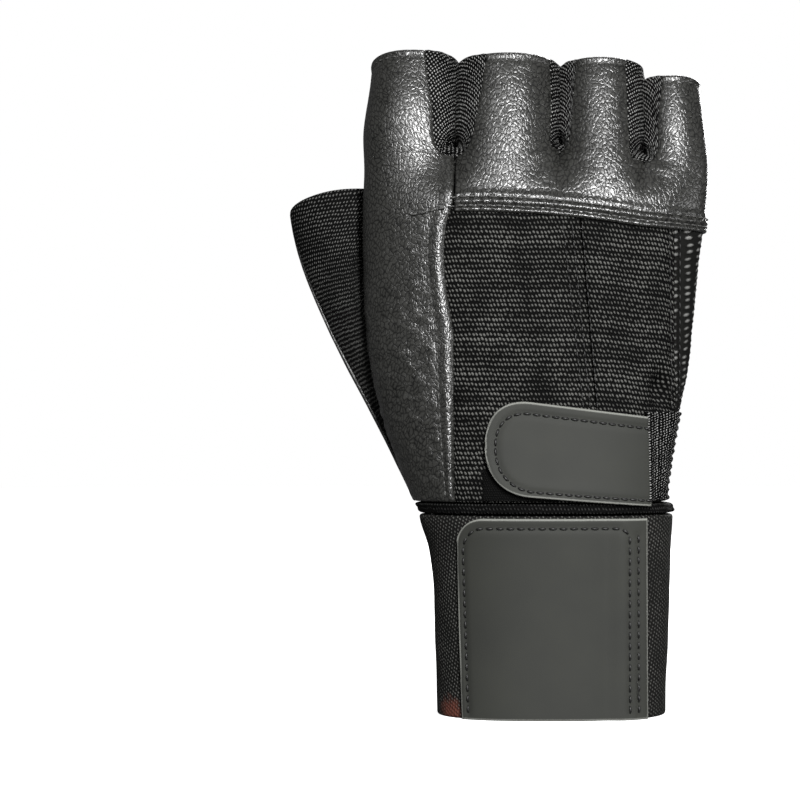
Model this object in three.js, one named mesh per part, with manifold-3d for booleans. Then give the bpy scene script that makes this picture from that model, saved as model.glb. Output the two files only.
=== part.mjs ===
// A right-hand fingerless weightlifting glove with a wrist wrap, in its worn form.
// Millimetres, +Z up to the fingertips, -Y the back of the hand, -X the thumb side, +Y the palm.
// The origin is the middle of the wrist opening, at the bottom edge of the wrap.
//
// Every sewn panel is a slab laid on one worn form. A place on the form is (around, height):
// around runs 0..4 over the back from the index side to the little finger's side, one unit per
// finger, and 4..8 back over the palm. lift is the distance off the form, outwards.
import * as THREE from "three";
import { mergeVertices } from "three/addons/utils/BufferGeometryUtils.js";
import Module from "manifold-3d";

const wasm = await Module();
wasm.setup();

// Sizes of the hand part
const handLength = 129.3; // wrist seam to the fingertip rims, along the hand
const palmBreadth = 100;
const palmThickness = 36;
const fingerThickness = 25;
const fingerCurl = 0.4; // radians, from the knuckles to the rims
const curlStart = 0.61; // share of handLength where the curl begins
const knuckleHem = { index: 0.658, little: 0.625 }; // shares of handLength at the hem's two ends
const crotchHeight = 0.784; // share of handLength where the valleys between the fingers start

// Sizes of the wrist wrap and of the closures
const cuffHeight = 58;
const wristBreadth = 72;
const wristDepth = 46;
const bindingHeight = 3.2;
const wrapTabWidth = 53.7;
const wrapTabHeight = 57;
const wrapTabCorner = 7;
const wrapEnd = 21; // where the elastic ends under the tab, from the middle
const closureTabLength = 45.7;
const closureTabHeight = 27.5;
const closureTabRight = 27.1; // right end of the closure tab, from the middle
const closureTabMiddle = 19.7; // its middle, above the wrist seam

// Material thicknesses and the gap that is left between sewn pieces
const leather = 1.3;
const knit = 1.1;
const elastic = 1.7;
const tabThickness = 1.5;
const hemRise = 0.8;
const knitSink = 0.5;
const seam = 0.3;

// Sizes of the thumb
const thumbBreadth = 29;
const thumbDepth = 21;
const thumbReach = 62.5; // thumb rim's middle, out from the glove's middle
const thumbRise = 90.3; // thumb rim's middle, above the wrist seam
const thumbForward = 20; // thumb rim's middle, towards the palm
const thumbLean = 0.14; // radians, the rim's tilt seen from the back
const thumbPitch = 0.4; // how far the thumb's end leans to the palm

const wristSeam = cuffHeight;

// The hand's section: at as a share of handLength above the wrist seam, left and right as
// shares of palmBreadth, back and palm as shares of palmThickness.
const handSections = [
  { at: 0.0, left: -0.385, right: 0.345, back: 0.6, palm: 0.62 },
  { at: 0.035, left: -0.405, right: 0.332, back: 0.6, palm: 0.63 },
  { at: 0.08, left: -0.43, right: 0.336, back: 0.58, palm: 0.64 },
  { at: 0.18, left: -0.478, right: 0.357, back: 0.55, palm: 0.61 },
  { at: 0.32, left: -0.524, right: 0.395, back: 0.52, palm: 0.55 },
  { at: 0.44, left: -0.542, right: 0.412, back: 0.5, palm: 0.49 },
  { at: 0.55, left: -0.547, right: 0.426, back: 0.49, palm: 0.44 },
  { at: 0.66, left: -0.548, right: 0.443, back: 0.48, palm: 0.41 },
  { at: 0.77, left: -0.546, right: 0.455, back: 0.45, palm: 0.39 },
  { at: 0.86, left: -0.549, right: 0.447, back: 0.43, palm: 0.38 },
  { at: 1.0, left: -0.53, right: 0.434, back: 0.4, palm: 0.37 },
];

// The wrist wrap's section: at as a share of cuffHeight, left and right as shares of
// wristBreadth, back and palm as shares of wristDepth.
const cuffSections = [
  { at: 0.0, left: -0.463, right: 0.428, back: 0.46, palm: 0.46 },
  { at: 0.35, left: -0.47, right: 0.438, back: 0.46, palm: 0.46 },
  { at: 0.65, left: -0.478, right: 0.446, back: 0.47, palm: 0.47 },
  { at: 0.82, left: -0.495, right: 0.45, back: 0.48, palm: 0.49 },
  { at: 1.0, left: -0.535, right: 0.456, back: 0.49, palm: 0.51 },
];

// The fingers, index first. left and right are the stall's sides as shares of palmBreadth at
// the valleys, spread moves them apart at the rims, back and palm are shares of
// fingerThickness, forward moves the stall to the palm, and rim is a share of handLength.
// radial and ulnar are the shares of the stall's back that the knit takes at the rim, each
// with how slowly the notch narrows towards the valley, and valley is the notch's depth on the
// little finger's side, as a share of handLength.
const fingers = [
  { left: -0.548, right: -0.278, spread: 0.002, back: 0.53, palm: 0.47, forward: 0.0,
    rim: 1.0, radial: 0.0, radialFlare: 1, ulnar: 0.41, ulnarFlare: 0.27, valley: 0.784 },
  { left: -0.278, right: 0.022, spread: 0.002, back: 0.56, palm: 0.47, forward: -0.03,
    rim: 0.987, radial: 0.37, radialFlare: 0.22, ulnar: 0.18, ulnarFlare: 0.1, valley: 0.799 },
  { left: 0.022, right: 0.262, spread: 0.002, back: 0.52, palm: 0.46, forward: 0.0,
    rim: 0.984, radial: 0.295, radialFlare: 0.24, ulnar: 0.297, ulnarFlare: 0.1, valley: 0.772 },
  { left: 0.262, right: 0.45, spread: 0.002, back: 0.44, palm: 0.42, forward: 0.09,
    rim: 0.958, radial: 0.395, radialFlare: 0.33, ulnar: 0.0, ulnarFlare: 1, valley: 0.772 },
];
// The share of a stall's palm side that the knit takes at each edge, how slowly that narrows,
// and the depth of the palm's notches.
const palmNotch = { share: 0.17, flare: 0.3, valley: 0.77 };

// The inner edge of the knit back: at as a share of handLength, edge as a share of palmBreadth.
const knitEdge = [
  { at: 0.0, edge: -0.258 },
  { at: 0.23, edge: -0.258 },
  { at: 0.33, edge: -0.262 },
  { at: 0.41, edge: -0.28 },
  { at: 0.49, edge: -0.298 },
  { at: 0.56, edge: -0.305 },
  { at: 0.62, edge: -0.302 },
  { at: 0.7, edge: -0.284 },
];
// The two sewn lines that divide the knit back, as shares of palmBreadth at the hem and low down.
const knitBand = { top: 0.081, low: 0.15 };
const knitRim = { top: 0.352, low: 0.36 };

// The thumb's seam over the palm, from the wrist round to the thumb crotch: across as a share
// of palmBreadth, at as a share of handLength.
const thumbSeam = [
  { across: -0.36, at: 0.02 },
  { across: -0.29, at: 0.035 },
  { across: -0.215, at: 0.07 },
  { across: -0.175, at: 0.13 },
  { across: -0.166, at: 0.24 },
  { across: -0.17, at: 0.35 },
  { across: -0.205, at: 0.425 },
  { across: -0.3, at: 0.455 },
  { across: -0.4, at: 0.47 },
];
const thumbSideTop = 0.49; // share of handLength at the thumb crotch, on the glove's side
const sideLine = 0.16; // how far behind the silhouette the side seam runs, in units around
const padInner = -0.133; // inner edge of the quilted pad, as a share of palmBreadth
const padTop = { radial: 0.665, ulnar: 0.63 }; // shares of handLength
const padBottom = 0.185;
const padRise = 1.0;

const lerp = (a, b, t) => a + (b - a) * t;
const clamp = (x, low, high) => Math.min(high, Math.max(low, x));
const smooth = (low, high, x) => {
  const t = clamp((x - low) / (high - low), 0, 1);
  return t * t * (3 - 2 * t);
};

// A smooth value read from a table at a place.
function readTable(table, key, value, place) {
  const last = table.length - 1;
  if (place <= table[0][key]) return table[0][value];
  if (place >= table[last][key]) return table[last][value];
  let i = 0;
  while (table[i + 1][key] < place) i += 1;
  const slopeAt = (k) => {
    if (k === 0 || k === last) return 0;
    const rise = table[k + 1][value] - table[k - 1][value];
    return rise / (table[k + 1][key] - table[k - 1][key]);
  };
  const span = table[i + 1][key] - table[i][key];
  const t = (place - table[i][key]) / span;
  const a = table[i][value];
  const b = table[i + 1][value];
  const startSlope = slopeAt(i) * span;
  const endSlope = slopeAt(i + 1) * span;
  return (
    a * (2 * t ** 3 - 3 * t ** 2 + 1) +
    startSlope * (t ** 3 - 2 * t ** 2 + t) +
    b * (3 * t ** 2 - 2 * t ** 3) +
    endSlope * (t ** 3 - t ** 2)
  );
}

// Section of the hand, or of the wrap below the wrist seam, at a height.
function sectionAt(height) {
  if (height < wristSeam) {
    const at = height / cuffHeight;
    const read = (name) => readTable(cuffSections, "at", name, at);
    return {
      left: read("left") * wristBreadth,
      right: read("right") * wristBreadth,
      back: read("back") * wristDepth,
      palm: read("palm") * wristDepth,
    };
  }
  const at = (height - wristSeam) / handLength;
  const read = (name) => readTable(handSections, "at", name, at);
  return {
    left: read("left") * palmBreadth,
    right: read("right") * palmBreadth,
    back: read("back") * palmThickness,
    palm: read("palm") * palmThickness,
  };
}

const bodyRound = 2.35; // exponent of the hand's section: 2 is an ellipse
const fingerRound = 2.2;
const handHeight = (share) => wristSeam + share * handLength;
const crotch = handHeight(crotchHeight);
const firstValleyShare = fingers.slice(1).map((finger) => finger.left);

// Angles on the section at the five finger boundaries.
function boundaryAngles(section) {
  const middle = (section.left + section.right) / 2;
  const half = (section.right - section.left) / 2;
  const angles = [0];
  for (const share of firstValleyShare) {
    const c = clamp((middle - share * palmBreadth) / half, -1, 1);
    angles.push(Math.acos(Math.sign(c) * Math.abs(c) ** (bodyRound / 2)));
  }
  angles.push(Math.PI);
  return angles;
}

// Place around on the back for a distance across, on the smooth hand below the fingers.
function aroundAt(across, height) {
  const section = sectionAt(height);
  const middle = (section.left + section.right) / 2;
  const half = (section.right - section.left) / 2;
  const c = clamp((middle - across) / half, -1, 1);
  const angle = Math.acos(Math.sign(c) * Math.abs(c) ** (bodyRound / 2));
  const angles = boundaryAngles(section);
  let i = 0;
  while (i < 3 && angles[i + 1] < angle) i += 1;
  return i + (angle - angles[i]) / (angles[i + 1] - angles[i]);
}
const palmAroundAt = (across, height) => 8 - aroundAt(across, height);

const power = (x, exponent) => Math.sign(x) * Math.abs(x) ** exponent;

function bodyPlace(around, height) {
  const section = sectionAt(height);
  const angles = boundaryAngles(section);
  const onPalm = around > 4;
  const place = onPalm ? 8 - around : around;
  const i = clamp(Math.floor(place), 0, 3);
  const angle = lerp(angles[i], angles[i + 1], place - i);
  const middle = (section.left + section.right) / 2;
  const half = (section.right - section.left) / 2;
  const c = Math.cos(angle);
  const s = Math.sin(angle);
  const depth = onPalm ? section.palm : -section.back;
  const point = new THREE.Vector2(
    middle - half * power(c, 2 / bodyRound),
    depth * power(s, 2 / bodyRound),
  );
  const normal = new THREE.Vector2(
    -power(c, 2 - 2 / bodyRound) / half,
    power(s, 2 - 2 / bodyRound) / depth,
  ).normalize();
  return { point, normal };
}

// A stall's section at a height: its middle, half breadth and depths.
function stallAt(index, height) {
  const finger = fingers[index];
  const section = sectionAt(height);
  const rise = clamp((height - crotch) / (handHeight(1) - crotch), -1, 1.2);
  let left = (finger.left + finger.spread * Math.max(rise, 0)) * palmBreadth;
  let right = (finger.right - finger.spread * Math.max(rise, 0)) * palmBreadth;
  if (index === 0) left = section.left;
  if (index === 3) right = section.right;
  return {
    middle: (left + right) / 2,
    half: (right - left) / 2,
    back: finger.back * fingerThickness,
    palm: finger.palm * fingerThickness,
    forward: finger.forward * fingerThickness,
  };
}

// turn is 0 at the stall's thumb side, a quarter turn at its back, then its far side.
function stallPlace(index, turn, height) {
  const stall = stallAt(index, height);
  const c = Math.cos(turn);
  const s = Math.sin(turn);
  const depth = s > 0 ? stall.back : stall.palm;
  const point = new THREE.Vector2(
    stall.middle - stall.half * power(c, 2 / fingerRound),
    stall.forward - depth * power(s, 2 / fingerRound),
  );
  const normal = new THREE.Vector2(
    -power(c, 2 - 2 / fingerRound) / stall.half,
    -power(s, 2 - 2 / fingerRound) / depth,
  ).normalize();
  return { point, normal };
}

// How far the smooth hand has become separate fingers.
const fingerShare = (height) => smooth(handHeight(0.67), handHeight(0.9), height);

// The worn form's outline at a height, before the curl.
function formPlace(around, height) {
  const body = bodyPlace(((around % 8) + 8) % 8, height);
  const share = fingerShare(height);
  if (share === 0) return body;
  const place = ((around % 8) + 8) % 8;
  const onPalm = place > 4;
  const back = onPalm ? 8 - place : place;
  const index = clamp(Math.floor(back), 0, 3);
  const turn = (back - index) * Math.PI * (onPalm ? -1 : 1);
  const stall = stallPlace(index, turn, height);
  const outerSide = (index === 0 && back < 0.5) || (index === 3 && back > 3.5);
  const fromValley = outerSide ? 1 : Math.abs(back - Math.round(back));
  const above = smooth(crotch - 4, crotch + 6, height);
  const turnShare = share * lerp(smooth(0, 0.3, fromValley), 1, above);
  return {
    point: body.point.lerp(stall.point, share),
    normal: body.normal.lerp(stall.normal, outerSide ? share : turnShare).normalize(),
  };
}

// Bends a straight place into the curl of the fingers, towards the palm.
const curlHeight = handHeight(curlStart);
const curlRadius = (handHeight(1) - curlHeight) / fingerCurl;
function curl(x, y, height) {
  if (height <= curlHeight) return new THREE.Vector3(x, y, height);
  const angle = (height - curlHeight) / curlRadius;
  return new THREE.Vector3(
    x,
    curlRadius - (curlRadius - y) * Math.cos(angle),
    curlHeight + (curlRadius - y) * Math.sin(angle),
  );
}

function onForm(around, height, lift) {
  const { point, normal } = formPlace(around, height);
  return curl(point.x + normal.x * lift, point.y + normal.y * lift, height);
}

// A closed slab between two grids of points. place(u, v, side) gives a point, with side 1 on
// the outer face and 0 on the inner one. A ring closes on itself along u.
function slab(columns, rows, place, ring = false) {
  const vertices = [];
  const index = [];
  const across = columns.length;
  const up = rows.length;
  for (const side of [1, 0])
    for (const u of columns)
      for (const v of rows) vertices.push(...place(u, v, side).toArray());
  const id = (side, i, j) => (side ? 0 : across * up) + (i % across) * up + j;
  const quad = (a, b, c, d) => index.push(a, b, c, a, c, d);
  const spans = ring ? across : across - 1;
  for (let i = 0; i < spans; i += 1)
    for (let j = 0; j < up - 1; j += 1) {
      quad(id(1, i, j), id(1, i + 1, j), id(1, i + 1, j + 1), id(1, i, j + 1));
      quad(id(0, i, j + 1), id(0, i + 1, j + 1), id(0, i + 1, j), id(0, i, j));
    }
  for (let i = 0; i < spans; i += 1) {
    quad(id(0, i, 0), id(0, i + 1, 0), id(1, i + 1, 0), id(1, i, 0));
    quad(id(1, i, up - 1), id(1, i + 1, up - 1), id(0, i + 1, up - 1), id(0, i, up - 1));
  }
  if (!ring)
    for (let j = 0; j < up - 1; j += 1) {
      const end = across - 1;
      quad(id(1, 0, j), id(1, 0, j + 1), id(0, 0, j + 1), id(0, 0, j));
      quad(id(0, end, j), id(0, end, j + 1), id(1, end, j + 1), id(1, end, j));
    }
  const geometry = new THREE.BufferGeometry();
  geometry.setAttribute("position", new THREE.Float32BufferAttribute(vertices, 3));
  geometry.setIndex(index);
  return geometry.toNonIndexed();
}

const steps = (count) => Array.from({ length: count + 1 }, (_, i) => i / count);

// A panel on the form: around(u, height), the heights low(u) and high(u), and its two lifts.
function panel({ columns, rows, around, low, high, outer, inner }) {
  return slab(columns, steps(rows), (u, v, side) => {
    const height = lerp(low(u), high(u), v);
    const lift = side ? outer : inner;
    return onForm(around(u, height), height, typeof lift === "function" ? lift(u, height) : lift);
  });
}

// The two notch edges of a stall, on its back or on its palm side.
function notchEdges(index, onPalm) {
  const finger = fingers[index];
  const depth = (k) => handHeight(onPalm ? palmNotch.valley : fingers[k].valley);
  const edge = (free, share, flare, valley) =>
    onPalm
      ? { share: free ? 0 : palmNotch.share, flare: palmNotch.flare, valley }
      : { share: free ? 0 : share, flare, valley };
  return {
    radial: edge(index === 0, finger.radial, finger.radialFlare, depth(Math.max(index - 1, 0))),
    ulnar: edge(index === 3, finger.ulnar, finger.ulnarFlare, depth(index)),
  };
}
const openShare = (edge, rise) => edge.share * clamp(rise, 0, 1) ** edge.flare;

// Height of the leather's free edge: the rim, or the notch down to a valley.
function leatherTop(around) {
  const place = ((around % 8) + 8) % 8;
  const onPalm = place > 4;
  const back = clamp(onPalm ? 8 - place : place, 0.0001, 3.9999);
  const index = Math.floor(back);
  const { radial, ulnar } = notchEdges(index, onPalm);
  const rim = handHeight(fingers[index].rim);
  const fromLeft = back - index;
  const fromRight = index + 1 - back;
  let top = rim;
  const cut = (edge, share) => {
    if (share < edge.share - 1e-6)
      top = Math.min(top, lerp(edge.valley - seam, rim, (share / edge.share) ** (1 / edge.flare)));
  };
  cut(radial, fromLeft);
  cut(ulnar, fromRight);
  return top;
}

// Columns that follow every notch of the fingers between two places around.
const notchSteps = [0, 0.006, 0.06, 0.25, 0.6, 1];
function notchColumns(from, to, onPalm) {
  const places = new Set([from, to]);
  const add = (back) => {
    const place = onPalm ? 8 - back : back;
    if (place > Math.min(from, to) && place < Math.max(from, to)) places.add(place);
  };
  fingers.forEach((_, index) => {
    const { radial, ulnar } = notchEdges(index, onPalm);
    for (const t of notchSteps) {
      add(index + openShare(radial, t));
      add(index + 1 - openShare(ulnar, t));
    }
    const inner = index + radial.share;
    const outer = index + 1 - ulnar.share;
    for (const t of [0.25, 0.5, 0.75]) add(lerp(inner, outer, t));
  });
  const sorted = [...places].sort((a, b) => a - b);
  return sorted.filter((place, k) => k === 0 || place - sorted[k - 1] > 1e-4);
}

function toSolid(geometry) {
  const bare = new THREE.BufferGeometry();
  bare.setAttribute("position", geometry.getAttribute("position"));
  const merged = mergeVertices(bare, 1e-3);
  return new wasm.Manifold(
    new wasm.Mesh({
      numProp: 3,
      vertProperties: merged.getAttribute("position").array,
      triVerts: new Uint32Array(merged.index.array),
    }),
  );
}

// A geometry with others cut away from it, as its largest piece.
function cutAway(geometry, ...tools) {
  const cut = tools.reduce((solid, tool) => solid.subtract(toSolid(tool)), toSolid(geometry));
  const pieces = cut.decompose().sort((a, b) => b.volume() - a.volume());
  const mesh = pieces[0].getMesh();
  const result = new THREE.BufferGeometry();
  result.setAttribute("position", new THREE.Float32BufferAttribute(mesh.vertProperties, 3));
  result.setIndex(Array.from(mesh.triVerts));
  return result.toNonIndexed();
}

const colours = {
  leather: { color: 0x343432, roughness: 0.42, metalness: 0 },
  knit: { color: 0x1d1d1c, roughness: 0.95, metalness: 0 },
  elastic: { color: 0x262624, roughness: 0.92, metalness: 0 },
  tab: { color: 0x4c4d48, roughness: 0.8, metalness: 0 },
  loop: { color: 0x161615, roughness: 1, metalness: 0 },
};
const glove = new THREE.Group();
function addPiece(name, geometry, colour) {
  const mesh = new THREE.Mesh(geometry, new THREE.MeshStandardMaterial(colours[colour]));
  mesh.name = name;
  glove.add(mesh);
  return mesh;
}

// Leather over the back
const handBottom = wristSeam + bindingHeight + seam;
const hemAt = (around) =>
  handHeight(lerp(knuckleHem.index, knuckleHem.little, smooth(1.2, 3.6, around)));
const aroundGap = 0.012; // the seam's gap as a share of a finger's width
const knitLeft = (height) => {
  const edge = readTable(knitEdge, "at", "edge", (height - wristSeam) / handLength);
  return Math.min(aroundAt(edge * palmBreadth, height), 1);
};
const sideColumns = notchColumns(-sideLine, 1 - aroundGap, false).map(
  (place) => (place + sideLine) / (1 - aroundGap + sideLine),
);
// Each leather piece can be drawn thicker by a gap, as the room that its neighbours leave it.
const roomAround = 0.05; // a gap of 1 mm as a share of a finger's width
const indexSide = (room) =>
  panel({
    columns: sideColumns,
    rows: 16,
    around: (u, height) => {
      const right = lerp(knitLeft(height), 1, smooth(hemAt(1) - 2, hemAt(1) + 4, height));
      return lerp(-sideLine + aroundGap, right - aroundGap + room * roomAround, u);
    },
    low: () => handBottom - room,
    high: (u) => leatherTop(lerp(-sideLine, 1 - aroundGap, u)) + room * 2,
    outer: room,
    inner: -leather - room,
  });
const hemLift = (around, height) =>
  hemRise * (1 - smooth(hemAt(around) + 2, hemAt(around) + 5, height));
const knuckle = (room) =>
  panel({
    columns: notchColumns(1 + aroundGap - room * roomAround, 4 + sideLine - aroundGap, false),
    rows: 7,
    around: (u) => u,
    low: (u) => hemAt(u) - room,
    high: (u) => leatherTop(u) + room * 2,
    outer: (u, height) => hemLift(u, height) + room,
    inner: (u, height) => hemLift(u, height) - leather - room,
  });
addPiece("index_side_leather", indexSide(0), "leather");
addPiece("knuckle_leather", knuckle(0), "leather");

// The ribbed knit back, in three sewn strips that tuck under the leather's hem
const bandAt = (line, height) => {
  const share = clamp((hemAt(2) - height) / (hemAt(2) - handBottom), 0, 1);
  return aroundAt(lerp(line.top, line.low, share) * palmBreadth, height);
};
const knitStrips = [
  { name: "back_knit_inner", from: (z) => knitLeft(z), to: (z) => bandAt(knitBand, z), wide: 8 },
  { name: "back_knit_outer", from: (z) => bandAt(knitBand, z), to: (z) => bandAt(knitRim, z),
    wide: 7 },
  { name: "back_knit_edge", from: (z) => bandAt(knitRim, z), to: () => 4 + sideLine, wide: 5 },
];
for (const strip of knitStrips)
  addPiece(
    strip.name,
    panel({
      columns: steps(strip.wide),
      rows: 8,
      around: (u, height) =>
        lerp(strip.from(height) + aroundGap, strip.to(height) - aroundGap, u),
      low: () => handBottom,
      high: (u) => {
        const middle = (hemAt(1) + hemAt(4)) / 2;
        return hemAt(lerp(strip.from(middle), strip.to(middle), u)) - seam * 1.5;
      },
      outer: -knitSink,
      inner: -knitSink - knit,
    }),
    "knit",
  );

// The small closure: a bare tab with a round free end, the loop patch under it, and its root
const tabSlope = { top: -0.127, bottom: -0.081 };
const tabLow = seam - knitSink; // lift of what is sewn on the knit
const tabLift = 1.3; // lift of the closure tab, clear of the wrist binding
const tabMiddle = wristSeam + closureTabMiddle;
function closureEdge(across, direction) {
  const fromEnd = across - (closureTabRight - closureTabLength);
  const half = closureTabHeight / 2;
  const roundTo = half * 0.95;
  const t = clamp(1 - fromEnd / roundTo, 0, 0.985);
  const reach = half * (1 - t ** 2.3) ** (1 / 2.3);
  const slope = direction > 0 ? tabSlope.top : tabSlope.bottom;
  return tabMiddle + direction * reach + slope * (across - closureTabRight + closureTabLength);
}
const closureAcross = (u) => lerp(closureTabRight - closureTabLength, closureTabRight, u);
addPiece(
  "closure_tab",
  panel({
    columns: [0, 0.01, 0.04, 0.08, 0.14, 0.21, 0.28, 0.4, 0.55, 0.7, 0.85, 1],
    rows: 6,
    around: (u, height) => aroundAt(closureAcross(u), height),
    low: (u) => closureEdge(closureAcross(u), -1),
    high: (u) => closureEdge(closureAcross(u), 1),
    outer: tabLift + tabThickness,
    inner: tabLift,
  }),
  "tab",
);
const loopInset = 3.5;
addPiece(
  "closure_loop_patch",
  panel({
    columns: steps(4),
    rows: 3,
    around: (u, height) => aroundAt(lerp(closureAcross(0) - 4, closureAcross(0.42), u), height),
    low: () => handBottom + seam,
    high: () => closureEdge(closureAcross(0.4), 1) - loopInset,
    outer: tabLow + 0.6,
    inner: tabLow,
  }),
  "loop",
);
addPiece(
  "closure_root_knit",
  panel({
    columns: steps(5),
    rows: 4,
    around: (u, height) => lerp(aroundAt(closureTabRight + seam, height), 3.98, u),
    low: () => handBottom + seam,
    high: () => closureEdge(closureTabRight, 1) + 1.5,
    outer: (u) => tabLow + lerp(1.8, 0.7, u),
    inner: tabLow,
  }),
  "knit",
);

// Leather over the palm
const padTopAt = (around) =>
  handHeight(lerp(padTop.ulnar, padTop.radial, clamp((around - 4.3) / 3, 0, 1)));
const fingerPalmColumns = notchColumns(4 + sideLine + aroundGap, 8 - sideLine - aroundGap, true);
const fingerPalm = (room) =>
  panel({
    columns: fingerPalmColumns,
    rows: 7,
    around: (u) => u,
    low: (u) => padTopAt(u) + seam - room,
    high: (u) => leatherTop(u) + room * 2,
    outer: room,
    inner: -leather - room,
  });
addPiece("finger_palm_leather", fingerPalm(0), "leather");
const padBottomHeight = handHeight(padBottom);
const padEdge = (height) => palmAroundAt(padInner * palmBreadth, height);
// Height of the thumb's seam above a place across, on its upper side.
const upperThumbSeam = thumbSeam.slice(4).map((row) => ({ across: row.across, at: row.at }));
const lowerThumbSeam = thumbSeam.slice(0, 5);
const upperSeamAt = (across) => {
  const rows = [...upperThumbSeam].reverse();
  return handHeight(readTable(rows, "across", "at", across / palmBreadth));
};
const lowerSeamAcross = (height) => {
  const rows = lowerThumbSeam;
  return readTable(rows, "at", "across", (height - wristSeam) / handLength) * palmBreadth;
};
const palmPanelColumns = [0, 0.03, 0.08, 0.16, 0.26, 0.4, 0.55, 0.7, 0.85, 1];
const palmPanel = (room) =>
  slab(palmPanelColumns, steps(8), (u, v, side) => {
    const across = lerp(padInner * palmBreadth - 0.35, (handSections[6].left + 0.012) * palmBreadth, u);
    const sideTop = handHeight(thumbSideTop);
    const seamHeight = across > -0.166 * palmBreadth
      ? padBottomHeight + seam
      : lerp(upperSeamAt(across), sideTop, smooth(-0.38 * palmBreadth, -0.55 * palmBreadth, across));
    const low = Math.max(seamHeight, padBottomHeight) + seam - room;
    const start = Math.min(palmAroundAt(across, low), 8 - sideLine - aroundGap);
    const high = padTopAt(start);
    const height = lerp(low, high, v);
    const around = Math.min(palmAroundAt(across, height), 8 - sideLine - aroundGap);
    return onForm(around, height, side ? room : -leather - room);
  });
addPiece("palm_panel", palmPanel(0), "leather");
addPiece(
  "palm_pad",
  panel({
    columns: steps(12),
    rows: 8,
    around: (u, height) => lerp(4 + sideLine + aroundGap, padEdge(height) - aroundGap, u),
    low: () => padBottomHeight + seam,
    high: (u) => padTopAt(lerp(4 + sideLine, 6.6, u)),
    outer: (u, height) => {
      const v = (height - padBottomHeight) / (handHeight(padTop.radial) - padBottomHeight);
      return padRise * (smooth(0, 0.12, u) - smooth(0.88, 1, u)) *
        (smooth(0, 0.15, v) - smooth(0.82, 0.95, v));
    },
    inner: -leather,
  }),
  "leather",
);
addPiece(
  "heel_leather",
  panel({
    columns: steps(12),
    rows: 4,
    around: (u, height) => {
      const edge = palmAroundAt(lowerSeamAcross(height), height);
      return lerp(4 + sideLine + aroundGap, edge - aroundGap * 2, u);
    },
    low: () => handBottom,
    high: () => padBottomHeight - seam,
    outer: 0,
    inner: -leather,
  }),
  "leather",
);

// The thumb, lofted from its seam on the hand to its tilted rim
const thumbMiddle = new THREE.Vector3(-thumbReach, thumbForward, wristSeam + thumbRise);
const thumbAcross = new THREE.Vector3(Math.cos(thumbLean), 0, Math.sin(thumbLean));
const thumbAxis = new THREE.Vector3(
  -Math.sin(thumbLean),
  thumbPitch,
  Math.cos(thumbLean),
).normalize();
const thumbDeep = new THREE.Vector3().crossVectors(thumbAxis, thumbAcross).normalize();
// turn 0 is the crotch, 0.25 the thumb's back, 0.5 its outer side and 0.75 its palm side.
function thumbRimPoint(turn) {
  const angle = turn * Math.PI * 2;
  return thumbMiddle
    .clone()
    .addScaledVector(thumbAcross, (Math.cos(angle) * thumbBreadth) / 2)
    .addScaledVector(thumbDeep, (-Math.sin(angle) * thumbDepth) / 2);
}
const thumbSeamRows = [
  { along: 0, around: 8 - sideLine, height: handBottom },
  ...thumbSeam.map((row, i) => {
    const height = handHeight(row.at) + (i < 2 ? bindingHeight : 0);
    return { along: i + 1, around: palmAroundAt(row.across * palmBreadth, height), height };
  }),
  { along: thumbSeam.length + 1, around: 8 - sideLine, height: handHeight(thumbSideTop) },
];
const thumbFan = 2.2; // how closely the inner side's lines start at the crotch
function thumbRoot(anyTurn) {
  const turn = (anyTurn + 1) % 1;
  if (turn <= 0.5) {
    const height = lerp(handHeight(thumbSideTop), handBottom, (turn * 2) ** thumbFan);
    return { around: 8 - sideLine, height };
  }
  const along = (turn - 0.5) * 2 * (thumbSeam.length + 1);
  return {
    around: readTable(thumbSeamRows, "along", "around", along),
    height: readTable(thumbSeamRows, "along", "height", along),
  };
}
const thumbBulge = 0.5; // how full the ball of the thumb is
function thumbPoint(turn, along, lift) {
  const root = thumbRoot(turn);
  const place = (turn + 1) % 1;
  const raised = place > 0.5 ? smooth(0.78, 0.9, place) : 1 - smooth(0, 0.03, place);
  const overPanel = raised * (leather + seam + 0.6);
  const start = onForm(root.around, root.height, overPanel - 0.4);
  const end = thumbRimPoint(turn);
  const chord = end.clone().sub(start);
  const reach = chord.length();
  const { normal } = formPlace(root.around, root.height);
  const outward = new THREE.Vector3(normal.x, normal.y, 0);
  const bulge = thumbBulge * Math.max(smooth(0.52, 0.66, place), 1 - smooth(0.1, 0.3, place));
  const startWay = chord.clone().normalize().addScaledVector(outward, bulge).normalize();
  const t = along;
  const point = start
    .clone()
    .multiplyScalar(2 * t ** 3 - 3 * t ** 2 + 1)
    .addScaledVector(startWay, (t ** 3 - 2 * t ** 2 + t) * reach)
    .addScaledVector(end, 3 * t ** 2 - 2 * t ** 3)
    .addScaledVector(thumbAxis, (t ** 3 - t ** 2) * reach * 0.9);
  if (lift === 0) return point;
  const side = thumbPoint(turn + 0.01, along, 0).sub(thumbPoint(turn - 0.01, along, 0));
  const up = thumbPoint(turn, Math.min(along + 0.02, 1), 0).sub(
    thumbPoint(turn, Math.max(along - 0.02, 0), 0),
  );
  const off = new THREE.Vector3().crossVectors(side, up).normalize();
  return point.addScaledVector(off, lift);
}
const turnGap = 0.004;
const crotchGap = 0.026; // the same at the crotch, where the two sheets meet at an angle
const thumbStart = 0.03;
const thumbLeather = slab(steps(20), steps(7), (u, v, side) =>
  thumbPoint(lerp(0.5 + turnGap, 1 - turnGap * 2, u), lerp(thumbStart, 1, v), side ? 0 : -leather),
);
addPiece("thumb_palm_leather", thumbLeather, "leather");
addPiece(
  "thumb_back_knit",
  slab(steps(11), steps(7), (u, v, side) =>
    thumbPoint(
      lerp(crotchGap, 0.5 - turnGap, u),
      lerp(thumbStart, 1, v),
      side ? -0.2 : -0.2 - knit,
    ),
  ),
  "knit",
);
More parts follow.
